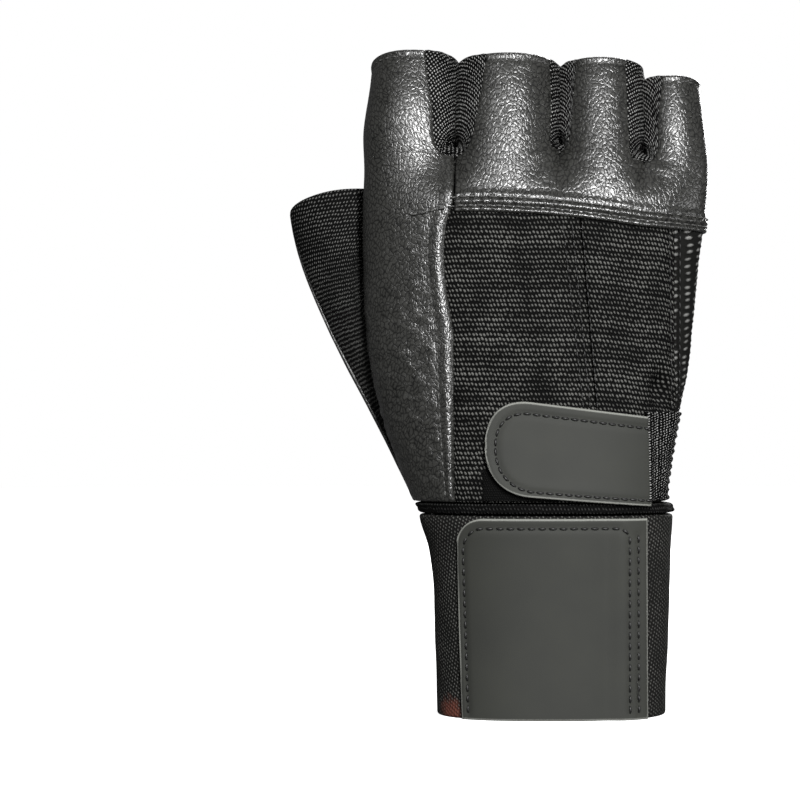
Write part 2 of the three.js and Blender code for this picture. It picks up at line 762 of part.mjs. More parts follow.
addPiece(
  "thumb_gore",
  slab(steps(4), steps(3), (u, v, side) => {
    const wide = lerp(0.055, 0.012, v);
    return thumbPoint(lerp(0.9 - wide, 0.9 + wide, u), lerp(0.08, 0.36, v), side ? -1.8 : -2.5);
  }),
  "leather",
);

// Knit gussets between the fingers, each a folded strip from rim to rim through the valley
const gussetSaddle = 1.5;
function gussetPoint(index, along, deep, lift) {
  const near = along < 0;
  const rise = Math.abs(along);
  const stall = near ? index : index + 1;
  const rim = handHeight(fingers[stall].rim);
  const side = near ? "ulnar" : "radial";
  const back = notchEdges(stall, false)[side];
  const palm = notchEdges(stall, true)[side];
  const valley = lerp(back.valley, palm.valley, deep) + gussetSaddle * Math.sin(Math.PI * deep);
  const height = lerp(valley, rim, Math.sqrt(rise ** 2 + 0.006) - Math.sqrt(0.006) * (1 - rise));
  const gap = 0.02;
  const backEdge = Math.max(openShare(back, (height - back.valley) / (rim - back.valley)), gap);
  const palmEdge = Math.max(openShare(palm, (height - palm.valley) / (rim - palm.valley)), gap);
  const far = near ? Math.PI : 0;
  const sign = near ? -1 : 1;
  const start = far + sign * (backEdge - gap) * Math.PI;
  const end = far - sign * (palmEdge - gap) * Math.PI;
  const turn = lerp(start, end, deep);
  const { point, normal } = stallPlace(stall, turn, height);
  const boundary = index + 1;
  const formBack = formPlace(near ? boundary - backEdge : boundary + backEdge, height).point;
  const backPoint = stallPlace(stall, start, height).point;
  const formPalm = formPlace(8 - (near ? boundary - palmEdge : boundary + palmEdge), height).point;
  const palmPoint = stallPlace(stall, end, height).point;
  point.addScaledVector(formBack.sub(backPoint), (1 - deep) ** 2);
  point.addScaledVector(formPalm.sub(palmPoint), deep ** 2);
  const folded = Math.exp(-((rise / 0.16) ** 2));
  const total = lift - 0.35;
  const flat = total * (1 - folded);
  return curl(point.x + normal.x * flat, point.y + normal.y * flat, height + total * folded);
}
const gussetColumns = [-1, -0.65, -0.35, -0.17, -0.07, 0, 0.07, 0.17, 0.35, 0.65, 1];
const gussetNames = ["index_middle", "middle_ring", "ring_little"];
gussetNames.forEach((name, index) =>
  addPiece(
    `fourchette_${name}`,
    cutAway(
      slab(gussetColumns, steps(6), (along, deep, side) =>
        gussetPoint(index, along, deep, side ? 0 : -knit),
      ),
      ...[seam, 0].flatMap((room) => [indexSide(room), knuckle(room), fingerPalm(room)]),
    ),
    "knit",
  ),
);

// The wrist: a bound seam, the elastic band, its second turn, and the end tab
const ringSteps = Array.from({ length: 36 }, (_, i) => (i / 36) * 8);
addPiece(
  "wrist_binding",
  slab(ringSteps, steps(3), (u, v, side) => {
    const height = wristSeam + seam / 2 + v * (bindingHeight - seam);
    const swell = Math.sin(Math.PI * v) * 0.9;
    return onForm(u, height, side ? swell : -leather);
  }, true),
  "knit",
);
const bandTop = cuffHeight - seam;
addPiece(
  "wrap_band",
  slab(ringSteps, steps(6), (u, v, side) => onForm(u, v * bandTop, side ? 0 : -elastic), true),
  "elastic",
);
const wrapStart = 7.35;
addPiece(
  "wrap_overlap",
  slab(steps(26), steps(6), (u, v, side) => {
    const height = v * bandTop;
    const end = aroundAt(wrapEnd, Math.max(height, 0));
    return onForm(lerp(end, wrapStart, u), height, side ? seam + elastic : seam);
  }),
  "elastic",
);
const wrapTabRight = 27.3;
function wrapTabEdge(fromLeft) {
  const t = clamp(1 - fromLeft / wrapTabCorner, 0, 1);
  return wrapTabHeight - wrapTabCorner * (1 - Math.sqrt(1 - t ** 2));
}
addPiece(
  "wrap_tab",
  slab([0, 0.012, 0.04, 0.08, 0.13, 0.3, 0.5, 0.7, 0.8, 0.87, 0.93, 1], steps(8), (u, v, side) => {
    const across = lerp(wrapTabRight - wrapTabWidth, wrapTabRight, u);
    const height = v * wrapTabEdge(u * wrapTabWidth);
    const over = smooth(wrapEnd - 7, wrapEnd - 0.5, across) * (elastic + seam);
    return onForm(aroundAt(across, height), height, seam + over + (side ? tabThickness : 0));
  }),
  "tab",
);

export default glove;
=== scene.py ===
"""Dressed model of a right-hand fingerless weightlifting glove with a wrist wrap.

Every sewn sheet is laid on the worn form that the solids use. A place on the form is (around,
height): around runs 0..4 over the back from the index side to the little finger's side, one unit
per finger, and 4..8 back over the palm. A lift is a distance off the form. All sizes are
millimetres until a mesh is made, which is in metres.
"""

import logging
import math
from collections.abc import Callable, Sequence
from dataclasses import dataclass, field, replace
from enum import Enum

import bpy
import numpy as np
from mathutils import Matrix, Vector, kdtree, noise

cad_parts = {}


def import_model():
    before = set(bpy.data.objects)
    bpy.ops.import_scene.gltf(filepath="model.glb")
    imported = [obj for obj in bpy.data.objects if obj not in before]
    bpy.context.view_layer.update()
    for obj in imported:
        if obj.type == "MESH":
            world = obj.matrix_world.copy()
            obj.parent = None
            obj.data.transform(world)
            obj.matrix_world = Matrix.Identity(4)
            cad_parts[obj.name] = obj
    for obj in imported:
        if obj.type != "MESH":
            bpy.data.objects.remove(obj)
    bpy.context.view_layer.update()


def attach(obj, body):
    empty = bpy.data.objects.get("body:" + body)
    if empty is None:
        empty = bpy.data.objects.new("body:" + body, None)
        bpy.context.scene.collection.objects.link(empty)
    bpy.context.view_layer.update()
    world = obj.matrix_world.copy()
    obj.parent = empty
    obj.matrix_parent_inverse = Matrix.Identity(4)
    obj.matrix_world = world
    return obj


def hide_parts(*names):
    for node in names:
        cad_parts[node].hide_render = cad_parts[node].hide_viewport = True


Array = np.ndarray
Material = bpy.types.Material
Socket = bpy.types.NodeSocket
METRES = 0.001
WEAVE_LAYER = "weave_mm"
EDGE_LAYER = "edge_mm"
log = logging.getLogger("glove")


# Small maths


def lerp(a: Array | float, b: Array | float, t: Array | float) -> Array | float:
    """Blends from a to b."""
    return a + (b - a) * t


def smooth(low: float, high: float, x: Array | float) -> Array:
    """Smooth step: 0 where x is under low, 1 where it is over high."""
    t = np.clip((np.asarray(x, float) - low) / (high - low), 0.0, 1.0)
    return t * t * (3.0 - 2.0 * t)


def power(x: Array, exponent: float) -> Array:
    """Raises x to an exponent and keeps its sign."""
    return np.sign(x) * np.abs(x) ** exponent


def unit(vectors: Array) -> Array:
    """Scales vectors to length one."""
    return vectors / np.maximum(np.linalg.norm(vectors, axis=-1, keepdims=True), 1e-9)


def bell(x: Array, width: float) -> Array:
    """A soft bump of height one at zero."""
    return np.exp(-((x / width) ** 2))


@dataclass(frozen=True)
class SmoothTable:
    """A smooth curve through rows of (place, value), level at both ends."""

    places: tuple[float, ...]
    values: tuple[float, ...]

    def at(self, place: Array | float) -> Array:
        """Reads the curve.

        Args:
            place: Where to read it.

        Returns:
            The value at each place.
        """
        x = np.array(self.places)
        y = np.array(self.values)
        place = np.clip(np.asarray(place, float), x[0], x[-1])
        slopes = np.zeros(len(x))
        slopes[1:-1] = (y[2:] - y[:-2]) / (x[2:] - x[:-2])
        i = np.clip(np.searchsorted(x, place, side="right") - 1, 0, len(x) - 2)
        span = x[i + 1] - x[i]
        t = (place - x[i]) / span
        rise = y[i] * (2 * t**3 - 3 * t**2 + 1) + slopes[i] * span * (t**3 - 2 * t**2 + t)
        return rise + y[i + 1] * (3 * t**2 - 2 * t**3) + slopes[i + 1] * span * (t**3 - t**2)


def noise_at(points: Array, size: float, seed: float = 0.0) -> Array:
    """Smooth noise.

    Args:
        points: Places in millimetres, in two or three dimensions.
        size: Width of a typical bump in millimetres.
        seed: Moves the pattern.

    Returns:
        A value from about -1 to 1 at each place.
    """
    places = np.zeros((len(points), 3))
    places[:, : points.shape[1]] = points / size
    places += (seed * 7.31, seed * 3.17, seed * 5.77)
    return np.array([noise.noise(Vector(place)) for place in places])


def nearest(points: Array, samples: Array) -> tuple[Array, Array]:
    """Finds the sample nearest to each point.

    Args:
        points: Places to ask from.
        samples: Places to choose among.

    Returns:
        The index of the nearest sample, and the distance to it.
    """
    tree = kdtree.KDTree(len(samples))
    for index, sample in enumerate(samples):
        tree.insert(sample, index)
    tree.balance()
    found = [tree.find(point)[1:] for point in points]
    return np.array([row[0] for row in found]), np.array([row[1] for row in found])


def resample(path: Array, pitch: float) -> tuple[Array, Array]:
    """Places along a path at a steady pitch.

    Args:
        path: Points of the path, one row each.
        pitch: Distance between the places.

    Returns:
        The places' share of the path's rows, as positions between rows, and their distances.
    """
    steps = np.linalg.norm(np.diff(path[:, :3], axis=0), axis=1)
    along = np.concatenate([[0.0], np.cumsum(steps)])
    count = max(int(round(along[-1] / pitch)), 1)
    wanted = np.linspace(0.0, along[-1], count + 1)
    return np.interp(wanted, along, np.arange(len(path))), wanted


def read_rows(values: Array, rows: Array) -> Array:
    """Reads rows of a table between its rows."""
    low = np.clip(np.floor(rows).astype(int), 0, len(values) - 2)
    share = (rows - low)[:, None]
    return values[low] * (1 - share) + values[low + 1] * share


# The worn form


class Section(Enum):
    """The four reaches of a section."""

    LEFT = 0
    RIGHT = 1
    BACK = 2
    PALM = 3


@dataclass(frozen=True)
class Finger:
    """One finger's stall, in shares of the hand's sizes."""

    left: float
    right: float
    back: float
    palm: float
    forward: float
    rim: float
    radial: float
    radial_flare: float
    ulnar: float
    ulnar_flare: float
    valley: float
    spread: float = 0.002


@dataclass(frozen=True)
class NotchEdge:
    """One side of a notch between two fingers."""

    share: float
    flare: float
    valley: float


@dataclass(frozen=True)
class HandForm:
    """The worn form of the hand and wrist."""

    hand_length: float = 129.3
    palm_breadth: float = 100.0
    palm_thickness: float = 36.0
    finger_thickness: float = 25.0
    finger_curl: float = 0.4
    curl_start: float = 0.61
    hem_index: float = 0.658
    hem_little: float = 0.625
    crotch_share: float = 0.784
    rim_rise: float = 1.8
    wrist_seam: float = 58.0
    wrist_breadth: float = 72.0
    wrist_depth: float = 46.0
    body_round: float = 2.35
    finger_round: float = 2.2
    palm_notch: NotchEdge = NotchEdge(0.17, 0.3, 0.77)
    hand_at: tuple[float, ...] = (0.0, 0.035, 0.08, 0.18, 0.32, 0.44, 0.55, 0.66, 0.77, 0.86, 1.0)
    hand_reach: tuple[tuple[float, ...], ...] = (
        (-0.385, -0.405, -0.43, -0.478, -0.524, -0.542, -0.547, -0.548, -0.546, -0.549, -0.53),
        (0.345, 0.332, 0.336, 0.357, 0.395, 0.412, 0.426, 0.443, 0.455, 0.447, 0.434),
        (0.6, 0.6, 0.58, 0.55, 0.52, 0.5, 0.49, 0.48, 0.45, 0.43, 0.4),
        (0.62, 0.63, 0.64, 0.61, 0.55, 0.49, 0.44, 0.41, 0.39, 0.38, 0.37),
    )
    cuff_at: tuple[float, ...] = (0.0, 0.35, 0.65, 0.82, 1.0)
    cuff_reach: tuple[tuple[float, ...], ...] = (
        (-0.463, -0.47, -0.478, -0.495, -0.535),
        (0.428, 0.438, 0.446, 0.45, 0.456),
        (0.46, 0.46, 0.47, 0.48, 0.49),
        (0.46, 0.46, 0.47, 0.49, 0.51),
    )
    fingers: tuple[Finger, ...] = (
        Finger(-0.548, -0.278, 0.53, 0.47, 0.0, 1.008, 0.0, 1.0, 0.41, 0.27, 0.784),
        Finger(-0.278, 0.022, 0.56, 0.47, -0.03, 0.995, 0.37, 0.22, 0.18, 0.1, 0.799),
        Finger(0.022, 0.262, 0.52, 0.46, 0.0, 0.992, 0.295, 0.24, 0.297, 0.1, 0.772),
        Finger(0.262, 0.45, 0.44, 0.42, 0.09, 0.966, 0.395, 0.33, 0.0, 1.0, 0.772),
    )

    def hand_height(self, share: Array | float) -> Array | float:
        """Height above the origin of a share of the hand."""
        return self.wrist_seam + share * self.hand_length

    def section(self, height: Array) -> Array:
        """Reads the section at each height.

        Args:
            height: Heights in millimetres.

        Returns:
            Four rows: left, right, back and palm.
        """
        cuff = height / self.wrist_seam
        hand = (height - self.wrist_seam) / self.hand_length
        rows = []
        for side in Section:
            wide = side in (Section.LEFT, Section.RIGHT)
            low = SmoothTable(self.cuff_at, self.cuff_reach[side.value]).at(cuff)
            high = SmoothTable(self.hand_at, self.hand_reach[side.value]).at(hand)
            low = low * (self.wrist_breadth if wide else self.wrist_depth)
            high = high * (self.palm_breadth if wide else self.palm_thickness)
            rows.append(np.where(height < self.wrist_seam, low, high))
        return np.array(rows)

    def _angle(self, section: Array, across: Array | float) -> Array:
        """Angle on the section of a distance across it."""
        middle = (section[0] + section[1]) / 2
        half = (section[1] - section[0]) / 2
        return np.arccos(power(np.clip((middle - across) / half, -1, 1), self.body_round / 2))

    def _boundaries(self, section: Array) -> Array:
        """Angles of the five finger boundaries, one row each."""
        inner = [self._angle(section, finger.left * self.palm_breadth) for finger in self.fingers[1:]]
        ends = [np.zeros_like(inner[0]), np.full_like(inner[0], math.pi)]
        return np.array([ends[0], *inner, ends[1]])

    def around_at(self, across: Array | float, height: Array | float) -> Array:
        """Place around on the back for a distance across.

        Args:
            across: Distances from the middle.
            height: Heights.

        Returns:
            The place around, 0 to 4.
        """
        across, height = np.broadcast_arrays(np.asarray(across, float), np.asarray(height, float))
        section = self.section(height)
        angle = self._angle(section, across)
        bounds = self._boundaries(section)
        i = sum((angle > bounds[k]).astype(int) for k in (1, 2, 3))
        low, high = (np.take_along_axis(bounds, i[None] + k, 0)[0] for k in (0, 1))
        return i + (angle - low) / (high - low)

    def palm_around_at(self, across: Array | float, height: Array | float) -> Array:
        """Place around on the palm for a distance across."""
        return 8.0 - self.around_at(across, height)

    def _body(self, around: Array, height: Array) -> tuple[Array, Array]:
        """Point and normal on the smooth hand, in the section's plane."""
        section = self.section(height)
        bounds = self._boundaries(section)
        on_palm = around > 4
        place = np.where(on_palm, 8 - around, around)
        i = np.clip(np.floor(place).astype(int), 0, 3)
        low, high = (np.take_along_axis(bounds, i[None] + k, 0)[0] for k in (0, 1))
        angle = lerp(low, high, place - i)
        middle = (section[0] + section[1]) / 2
        half = (section[1] - section[0]) / 2
        c, s = np.cos(angle), np.maximum(np.sin(angle), 0.0)
        depth = np.where(on_palm, section[3], -section[2])
        point = np.stack(
            [middle - half * power(c, 2 / self.body_round), depth * power(s, 2 / self.body_round)], -1
        )
        exponent = 2 - 2 / self.body_round
        normal = np.stack([-power(c, exponent) / half, power(s, exponent) / depth], -1)
        return point, unit(normal)

    def stall_place(self, index: Array, turn: Array, height: Array) -> tuple[Array, Array]:
        """Point and normal on a finger's stall.

        Args:
            index: Which finger, 0 to 3.
            turn: 0 at the stall's thumb side, a quarter turn at its back.
            height: Heights.

        Returns:
            Points and normals in the section's plane.
        """
        read = lambda name: np.array([getattr(finger, name) for finger in self.fingers])[index]
        section = self.section(height)
        crotch = self.hand_height(self.crotch_share)
        rise = np.clip((height - crotch) / (self.hand_height(1.0) - crotch), 0, 1.2)
        left = (read("left") + read("spread") * rise) * self.palm_breadth
        right = (read("right") - read("spread") * rise) * self.palm_breadth
        left = np.where(index == 0, section[0], left)
        right = np.where(index == 3, section[1], right)
        middle, half = (left + right) / 2, (right - left) / 2
        c, s = np.cos(turn), np.sin(turn)
        depth = np.where(s > 0, read("back"), read("palm")) * self.finger_thickness
        forward = read("forward") * self.finger_thickness
        k = 2 / self.finger_round
        point = np.stack([middle - half * power(c, k), forward - depth * power(s, k)], -1)
        normal = np.stack([-power(c, 2 - k) / half, -power(s, 2 - k) / depth], -1)
        return point, unit(normal)

    def flat_place(self, around: Array, height: Array) -> tuple[Array, Array]:
        """Point and normal on the form before its curl."""
        place = np.mod(around, 8.0)
        point, normal = self._body(place, height)
        share = smooth(self.hand_height(0.67), self.hand_height(0.9), height)
        on_palm = place > 4
        back = np.where(on_palm, 8 - place, place)
        index = np.clip(np.floor(back).astype(int), 0, 3)
        turn = (back - index) * math.pi * np.where(on_palm, -1, 1)
        stall, stall_normal = self.stall_place(index, turn, height)
        outer = ((index == 0) & (back < 0.5)) | ((index == 3) & (back > 3.5))
        from_valley = np.where(outer, 1.0, np.abs(back - np.round(back)))
        crotch = self.hand_height(self.crotch_share)
        above = smooth(crotch - 4, crotch + 6, height)
        turn_share = share * lerp(smooth(0, 0.3, from_valley), 1.0, above)
        turn_share = np.where(outer, share, turn_share)
        point = lerp(point, stall, share[..., None])
        return point, unit(lerp(normal, stall_normal, turn_share[..., None]))

    def curl(self, x: Array, y: Array, height: Array) -> Array:
        """Bends straight places into the curl of the fingers."""
        start = self.hand_height(self.curl_start)
        radius = (self.hand_height(1.0) - start) / self.finger_curl
        angle = np.maximum(height - start, 0) / radius
        bent_y = np.where(height > start, radius - (radius - y) * np.cos(angle), y)
        bent_z = np.where(height > start, start + (radius - y) * np.sin(angle), height)
        return np.stack([x, bent_y, bent_z], -1)

    def frame(self, around: Array | float, height: Array | float) -> tuple[Array, Array]:
        """Points on the form and the ways off it.

        Args:
            around: Places around.
            height: Heights.

        Returns:
            Points, and the vector that one millimetre of lift adds at each.
        """
        around, height = np.broadcast_arrays(np.asarray(around, float), np.asarray(height, float))
        point, normal = self.flat_place(around, height)
        base = self.curl(point[..., 0], point[..., 1], height)
        lifted = point + normal
        return base, self.curl(lifted[..., 0], lifted[..., 1], height) - base

    def hem(self, around: Array | float) -> Array:
        """Height of the knuckle leather's hem."""
        return self.hand_height(lerp(self.hem_index, self.hem_little, smooth(1.2, 3.6, around)))

    def levelled(self, index: int, turn: Array, height: Array) -> Array:
        """Raises a rim towards the finger's sides, so that it looks level from in front.

        Args:
            index: Which finger.
            turn: Turns round the stall, where a half turn is its back.
            height: Heights before the change.

        Returns:
            The heights.
        """
        rim = self.hand_height(self.fingers[index].rim)
        side = 1 - np.abs(np.sin(turn))
        return height + self.rim_rise * side * smooth(rim - 14, rim, height)

    def notch(self, index: int, on_palm: bool) -> tuple[NotchEdge, NotchEdge]:
        """The two notch edges of a stall.

        Args:
            index: Which finger.
            on_palm: Whether its palm side is asked for.

        Returns:
            The edge on the thumb side and the one on the little finger's side.
        """
        finger = self.fingers[index]
        before = self.fingers[max(index - 1, 0)].valley
        if on_palm:
            cut = self.palm_notch
            free = replace(cut, share=0.0)
            return (free if index == 0 else cut), (free if index == 3 else cut)
        radial = NotchEdge(finger.radial, finger.radial_flare, before)
        return radial, NotchEdge(finger.ulnar, finger.ulnar_flare, finger.valley)

    def opened(self, edge: NotchEdge, height: Array, index: int) -> Array:
        """Share of the stall that a notch takes at each height."""
        valley = self.hand_height(edge.valley)
        rim = self.hand_height(self.fingers[index].rim)
        return edge.share * np.clip((height - valley) / (rim - valley), 0, 1) ** edge.flare


@dataclass(frozen=True)
class ThumbForm:
    """The thumb, lofted from its seam on the hand to its tilted rim."""

    hand: HandForm
    breadth: float = 29.0
    depth: float = 21.0
    reach: float = 62.5
    rise: float = 90.3
    forward: float = 20.0
    lean: float = 0.14
    pitch: float = 0.4
    fan: float = 2.2
    bulge: float = 0.8
    side_top: float = 0.49
    side_line: float = 0.16
    binding: float = 3.2
    seam_gap: float = 0.3
    leather: float = 1.3
    seam_across: tuple[float, ...] = (-0.36, -0.29, -0.215, -0.175, -0.166, -0.17, -0.205, -0.3, -0.4)
    seam_at: tuple[float, ...] = (0.02, 0.035, 0.07, 0.13, 0.24, 0.35, 0.425, 0.455, 0.47)

    def axes(self) -> tuple[Array, Array, Array, Array]:
        """Middle of the rim, and the ways across, along and through the thumb."""
        middle = np.array([-self.reach, self.forward, self.hand.wrist_seam + self.rise])
        across = np.array([math.cos(self.lean), 0.0, math.sin(self.lean)])
        axis = unit(np.array([-math.sin(self.lean), self.pitch, math.cos(self.lean)]))
        return middle, across, axis, unit(np.cross(axis, across))

    def rim_point(self, turn: Array) -> Array:
        """Point on the rim: turn 0 is the crotch, 0.25 the thumb's back."""
        middle, across, _, deep = self.axes()
        angle = turn[..., None] * math.tau
        return middle + across * np.cos(angle) * self.breadth / 2 - deep * np.sin(angle) * self.depth / 2

    def root(self, turn: Array) -> tuple[Array, Array]:
        """Place around and height of the thumb's root at each turn."""
        turn = np.mod(turn, 1.0)
        bottom = self.hand.wrist_seam + self.binding + self.seam_gap
        top = self.hand.hand_height(self.side_top)
        heights = [self.hand.hand_height(at) for at in self.seam_at]
        heights[0] += self.binding
        heights[1] += self.binding
        arounds = [
            float(self.hand.palm_around_at(across * self.hand.palm_breadth, height))
            for across, height in zip(self.seam_across, heights)
        ]
        side = 8 - self.side_line
        rows = tuple(float(k) for k in range(len(heights) + 2))
        around_rows = SmoothTable(rows, (side, *arounds, side))
        height_rows = SmoothTable(rows, (bottom, *heights, top))
        along = (turn - 0.5) * 2 * (len(heights) + 1)
        on_back = turn <= 0.5
        back_height = lerp(top, bottom, np.clip(turn * 2, 0, 1) ** self.fan)
        around = np.where(on_back, side, around_rows.at(along))
        return around, np.where(on_back, back_height, height_rows.at(along))

    def point(self, turn: Array, along: Array) -> Array:
        """Point on the thumb's own surface."""
        around, height = self.root(turn)
        place = np.mod(turn, 1.0)
        raised = np.where(place > 0.5, smooth(0.78, 0.9, place), 1 - smooth(0, 0.03, place))
        base, way = self.hand.frame(around, height)
        start = base + way * (raised * (self.leather + self.seam_gap + 0.6) - 0.4)[..., None]
        end = self.rim_point(turn)
        chord = end - start
        reach = np.linalg.norm(chord, axis=-1, keepdims=True)
        _, flat = self.hand.flat_place(around, height)
        outward = np.concatenate([flat, np.zeros_like(flat[..., :1])], -1)
        bulge = self.bulge * np.maximum(smooth(0.52, 0.66, place), 1 - smooth(0.1, 0.3, place))
        start_way = unit(unit(chord) + outward * bulge[..., None])
        t = along[..., None]
        _, _, axis, _ = self.axes()
        return (
            start * (2 * t**3 - 3 * t**2 + 1)
            + start_way * (t**3 - 2 * t**2 + t) * reach
            + end * (3 * t**2 - 2 * t**3)
            + axis * (t**3 - t**2) * reach * 0.9
        )

    def frame(self, turn: Array | float, along: Array | float) -> tuple[Array, Array]:
        """Points on the thumb and the ways out of it."""
        turn, along = np.broadcast_arrays(np.asarray(turn, float), np.asarray(along, float))
        side = self.point(turn + 0.01, along) - self.point(turn - 0.01, along)
        up = self.point(turn, np.minimum(along + 0.02, 1)) - self.point(turn, np.maximum(along - 0.02, 0))
        return self.point(turn, along), -unit(np.cross(side, up))


# Sheets and meshes


@dataclass
class Sheet:
    """A sewn sheet before it has any thickness: places, ways off them, and faces."""

    base: Array
    way: Array
    faces: Array
    weave: Array
    around: Array
    height: Array

    def border(self) -> Array:
        """Indices of the vertices on the sheet's free edge."""
        edges: dict[tuple[int, int], int] = {}
        for face in self.faces:
            loop = list(dict.fromkeys(face.tolist()))
            for a, b in zip(loop, loop[1:] + loop[:1]):
                key = (min(a, b), max(a, b))
                edges[key] = edges.get(key, 0) + 1
        return np.array(sorted({v for key, used in edges.items() if used == 1 for v in key}))


def edge_steps(count: int, length: float, reach: float = 0.8) -> Array:
    """Steps from 0 to 1 that are close together near both ends.

    Args:
        count: How many even steps to take.
        length: The length they cover, in millimetres.
        reach: How far from each end the close steps go, in millimetres.

    Returns:
        The steps in order.
    """
    near = np.array([0.0, 0.06, 0.22, 0.5, 1.0]) * reach / length
    middle = np.linspace(near[-1], 1 - near[-1], count + 1)[1:-1]
    return np.concatenate([near, middle, 1 - near[::-1]])


def grid_sheet(
    around: Array,
    height: Array,
    place: Callable[[Array, Array], tuple[Array, Array]],
    ring: bool = False,
    flip: bool = False,
) -> Sheet:
    """Lays a grid of places on a form.

    Args:
        around: First coordinate of each place, one row for each column of the sheet.
        height: Second coordinate of each place. Both are stretched to the same grid.
        place: Gives points and ways for two coordinates.
        ring: Whether the last column joins the first.
        flip: Whether the faces turn the other way.

    Returns:
        The sheet.
    """
    around, height = np.broadcast_arrays(around, height)
    across, up = around.shape
    base, way = place(around, height)
    steps = np.linalg.norm(np.diff(base, axis=0), axis=-1)
    u = np.vstack([np.zeros(up), np.cumsum(steps, axis=0)])
    u = u - u[-1] / 2 if flip else u + base[0, :, 0]
    rises = np.linalg.norm(np.diff(base, axis=1), axis=-1)
    v = np.hstack([np.zeros((across, 1)), np.cumsum(rises, axis=1)]) + height[:, :1] * (not flip)
    i, j = np.meshgrid(np.arange(across if ring else across - 1), np.arange(up - 1), indexing="ij")
    k = (i + 1) % across
    faces = np.stack([i * up + j, k * up + j, k * up + j + 1, i * up + j + 1], -1).reshape(-1, 4)
    return Sheet(
        base.reshape(-1, 3),
        way.reshape(-1, 3),
        faces[:, ::-1] if flip else faces,
        np.stack([u, v], -1).reshape(-1, 2),
        around.reshape(-1),
        height.reshape(-1),
    )


def join_sheets(sheets: Sequence[Sheet]) -> Sheet:
    """Joins sheets where their vertices meet.

    Args:
        sheets: The sheets in order.

    Returns:
        One sheet with shared vertices.
    """
    base = np.concatenate([sheet.base for sheet in sheets])
    offsets = np.cumsum([0, *[len(sheet.base) for sheet in sheets]])
    faces = np.concatenate([sheet.faces + offset for sheet, offset in zip(sheets, offsets)])
    _, first, inverse = np.unique(np.round(base, 2), axis=0, return_index=True, return_inverse=True)
    gather = lambda name: np.concatenate([getattr(sheet, name) for sheet in sheets])[first]
    faces = inverse.reshape(-1)[faces]
    distinct = np.array([len(set(face)) > 2 for face in faces.tolist()])
    names = ("base", "way", "weave", "around", "height")
    base, way, weave, around, height = (gather(name) for name in names)
    return Sheet(base, way, faces[distinct], weave, around, height)


@dataclass
class MeshData:
    """Vertices in millimetres, faces, and the numbers that the materials read."""

    verts: Array
    faces: list[list[int]]
    weave: Array
    edge: Array
    slots: list[int] = field(default_factory=list)


def thicken(sheet: Sheet, top: Array, bottom: Array, rounding: float = 0.7, lining: int = 0) -> MeshData:
    """Turns a sheet into a closed shell with round edges.

    Args:
        sheet: The sheet.
        top: Lift of the outer face at each vertex.
        bottom: Lift of the inner face at each vertex.
        rounding: How far in from an edge the rounding reaches.
        lining: Material slot of the inner face.

    Returns:
        The shell. Its outer and inner faces share the vertices on the edge.
    """
    count = len(sheet.base)
    border = sheet.border()
    distance = np.full(count, 99.0)
    if len(border):
        distance = nearest(sheet.base, sheet.base[border])[1]
    fullness = np.sqrt(1 - (1 - np.clip(distance / rounding, 0, 1)) ** 2)
    middle = (top + bottom) / 2
    outer = sheet.base + sheet.way * (middle + (top - middle) * fullness)[:, None]
    inner = sheet.base + sheet.way * (middle + (bottom - middle) * fullness)[:, None]
    twin = np.full(count, -1)
    twin[border] = border
    free = np.flatnonzero(twin < 0)
    twin[free] = count + np.arange(len(free))
    faces = [list(dict.fromkeys(face)) for face in sheet.faces.tolist()]
    back = [list(dict.fromkeys(face)) for face in twin[sheet.faces][:, ::-1].tolist()]
    edge = np.stack([distance, np.zeros(count)], -1)
    edge_back = np.stack([distance[free], np.ones(len(free))], -1)
    return MeshData(
        np.concatenate([outer, inner[free]]),
        faces + back,
        np.concatenate([sheet.weave, sheet.weave[free]]),
        np.concatenate([edge, edge_back]),
        [0] * len(faces) + [lining] * len(back),
    )


@dataclass(frozen=True)
class Stitch:
    """Distance from stitch to stitch, length of a stitch, and radius of the thread."""

    pitch: float
    length: float
    radius: float


def stitch_row(path: Array, way: Array, stitch: Stitch) -> MeshData:
    """Lays a row of thread stitches.

    Args:
        path: Points that the thread follows.
        way: The surface's outward vector at each point.
        stitch: The stitch's sizes.

    Returns:
        One small arched thread for each stitch.
    """
    along = resample(path, stitch.pitch)[1]
    radius = stitch.radius
    starts = np.maximum(along[:-1] + (stitch.pitch - stitch.length) / 2, 0)
    steps = np.linalg.norm(np.diff(path, axis=0), axis=1)
    total = np.concatenate([[0.0], np.cumsum(steps)])
    t = np.array([0.0, 0.18, 0.5, 0.82, 1.0])
    wanted = starts[:, None] + t * stitch.length
    at = np.interp(wanted.reshape(-1), total, np.arange(len(path)))
    centres = read_rows(path, at).reshape(len(starts), 5, 3)
    normals = unit(read_rows(way, at)).reshape(len(starts), 5, 3)
    tangent = unit(centres[:, -1] - centres[:, 0])[:, None]
    side = unit(np.cross(tangent, normals))
    centres = centres + normals * (np.array([-0.9, -0.1, 0.25, -0.1, -0.9]) * radius)[None, :, None]
    thick = radius * np.array([0.55, 0.95, 1.05, 0.95, 0.55])
    angles = np.arange(6) * math.tau / 6
    ring = side[:, :, None] * np.cos(angles)[None, None, :, None]
    ring = ring + normals[:, :, None] * np.sin(angles)[None, None, :, None]
    verts = (centres[:, :, None] + ring * thick[None, :, None, None]).reshape(-1, 3)
    faces: list[list[int]] = []
    for k in range(len(starts)):
        first = k * 30
        for level in range(4):
            for n in range(6):
                a = first + level * 6 + n
                b = first + level * 6 + (n + 1) % 6
                faces.append([a, b, b + 6, a + 6])
        faces.append([first + n for n in reversed(range(6))])
        faces.append([first + 24 + n for n in range(6)])
    plain = np.zeros((len(verts), 2))
    return MeshData(verts, faces, plain, plain, [0] * len(faces))


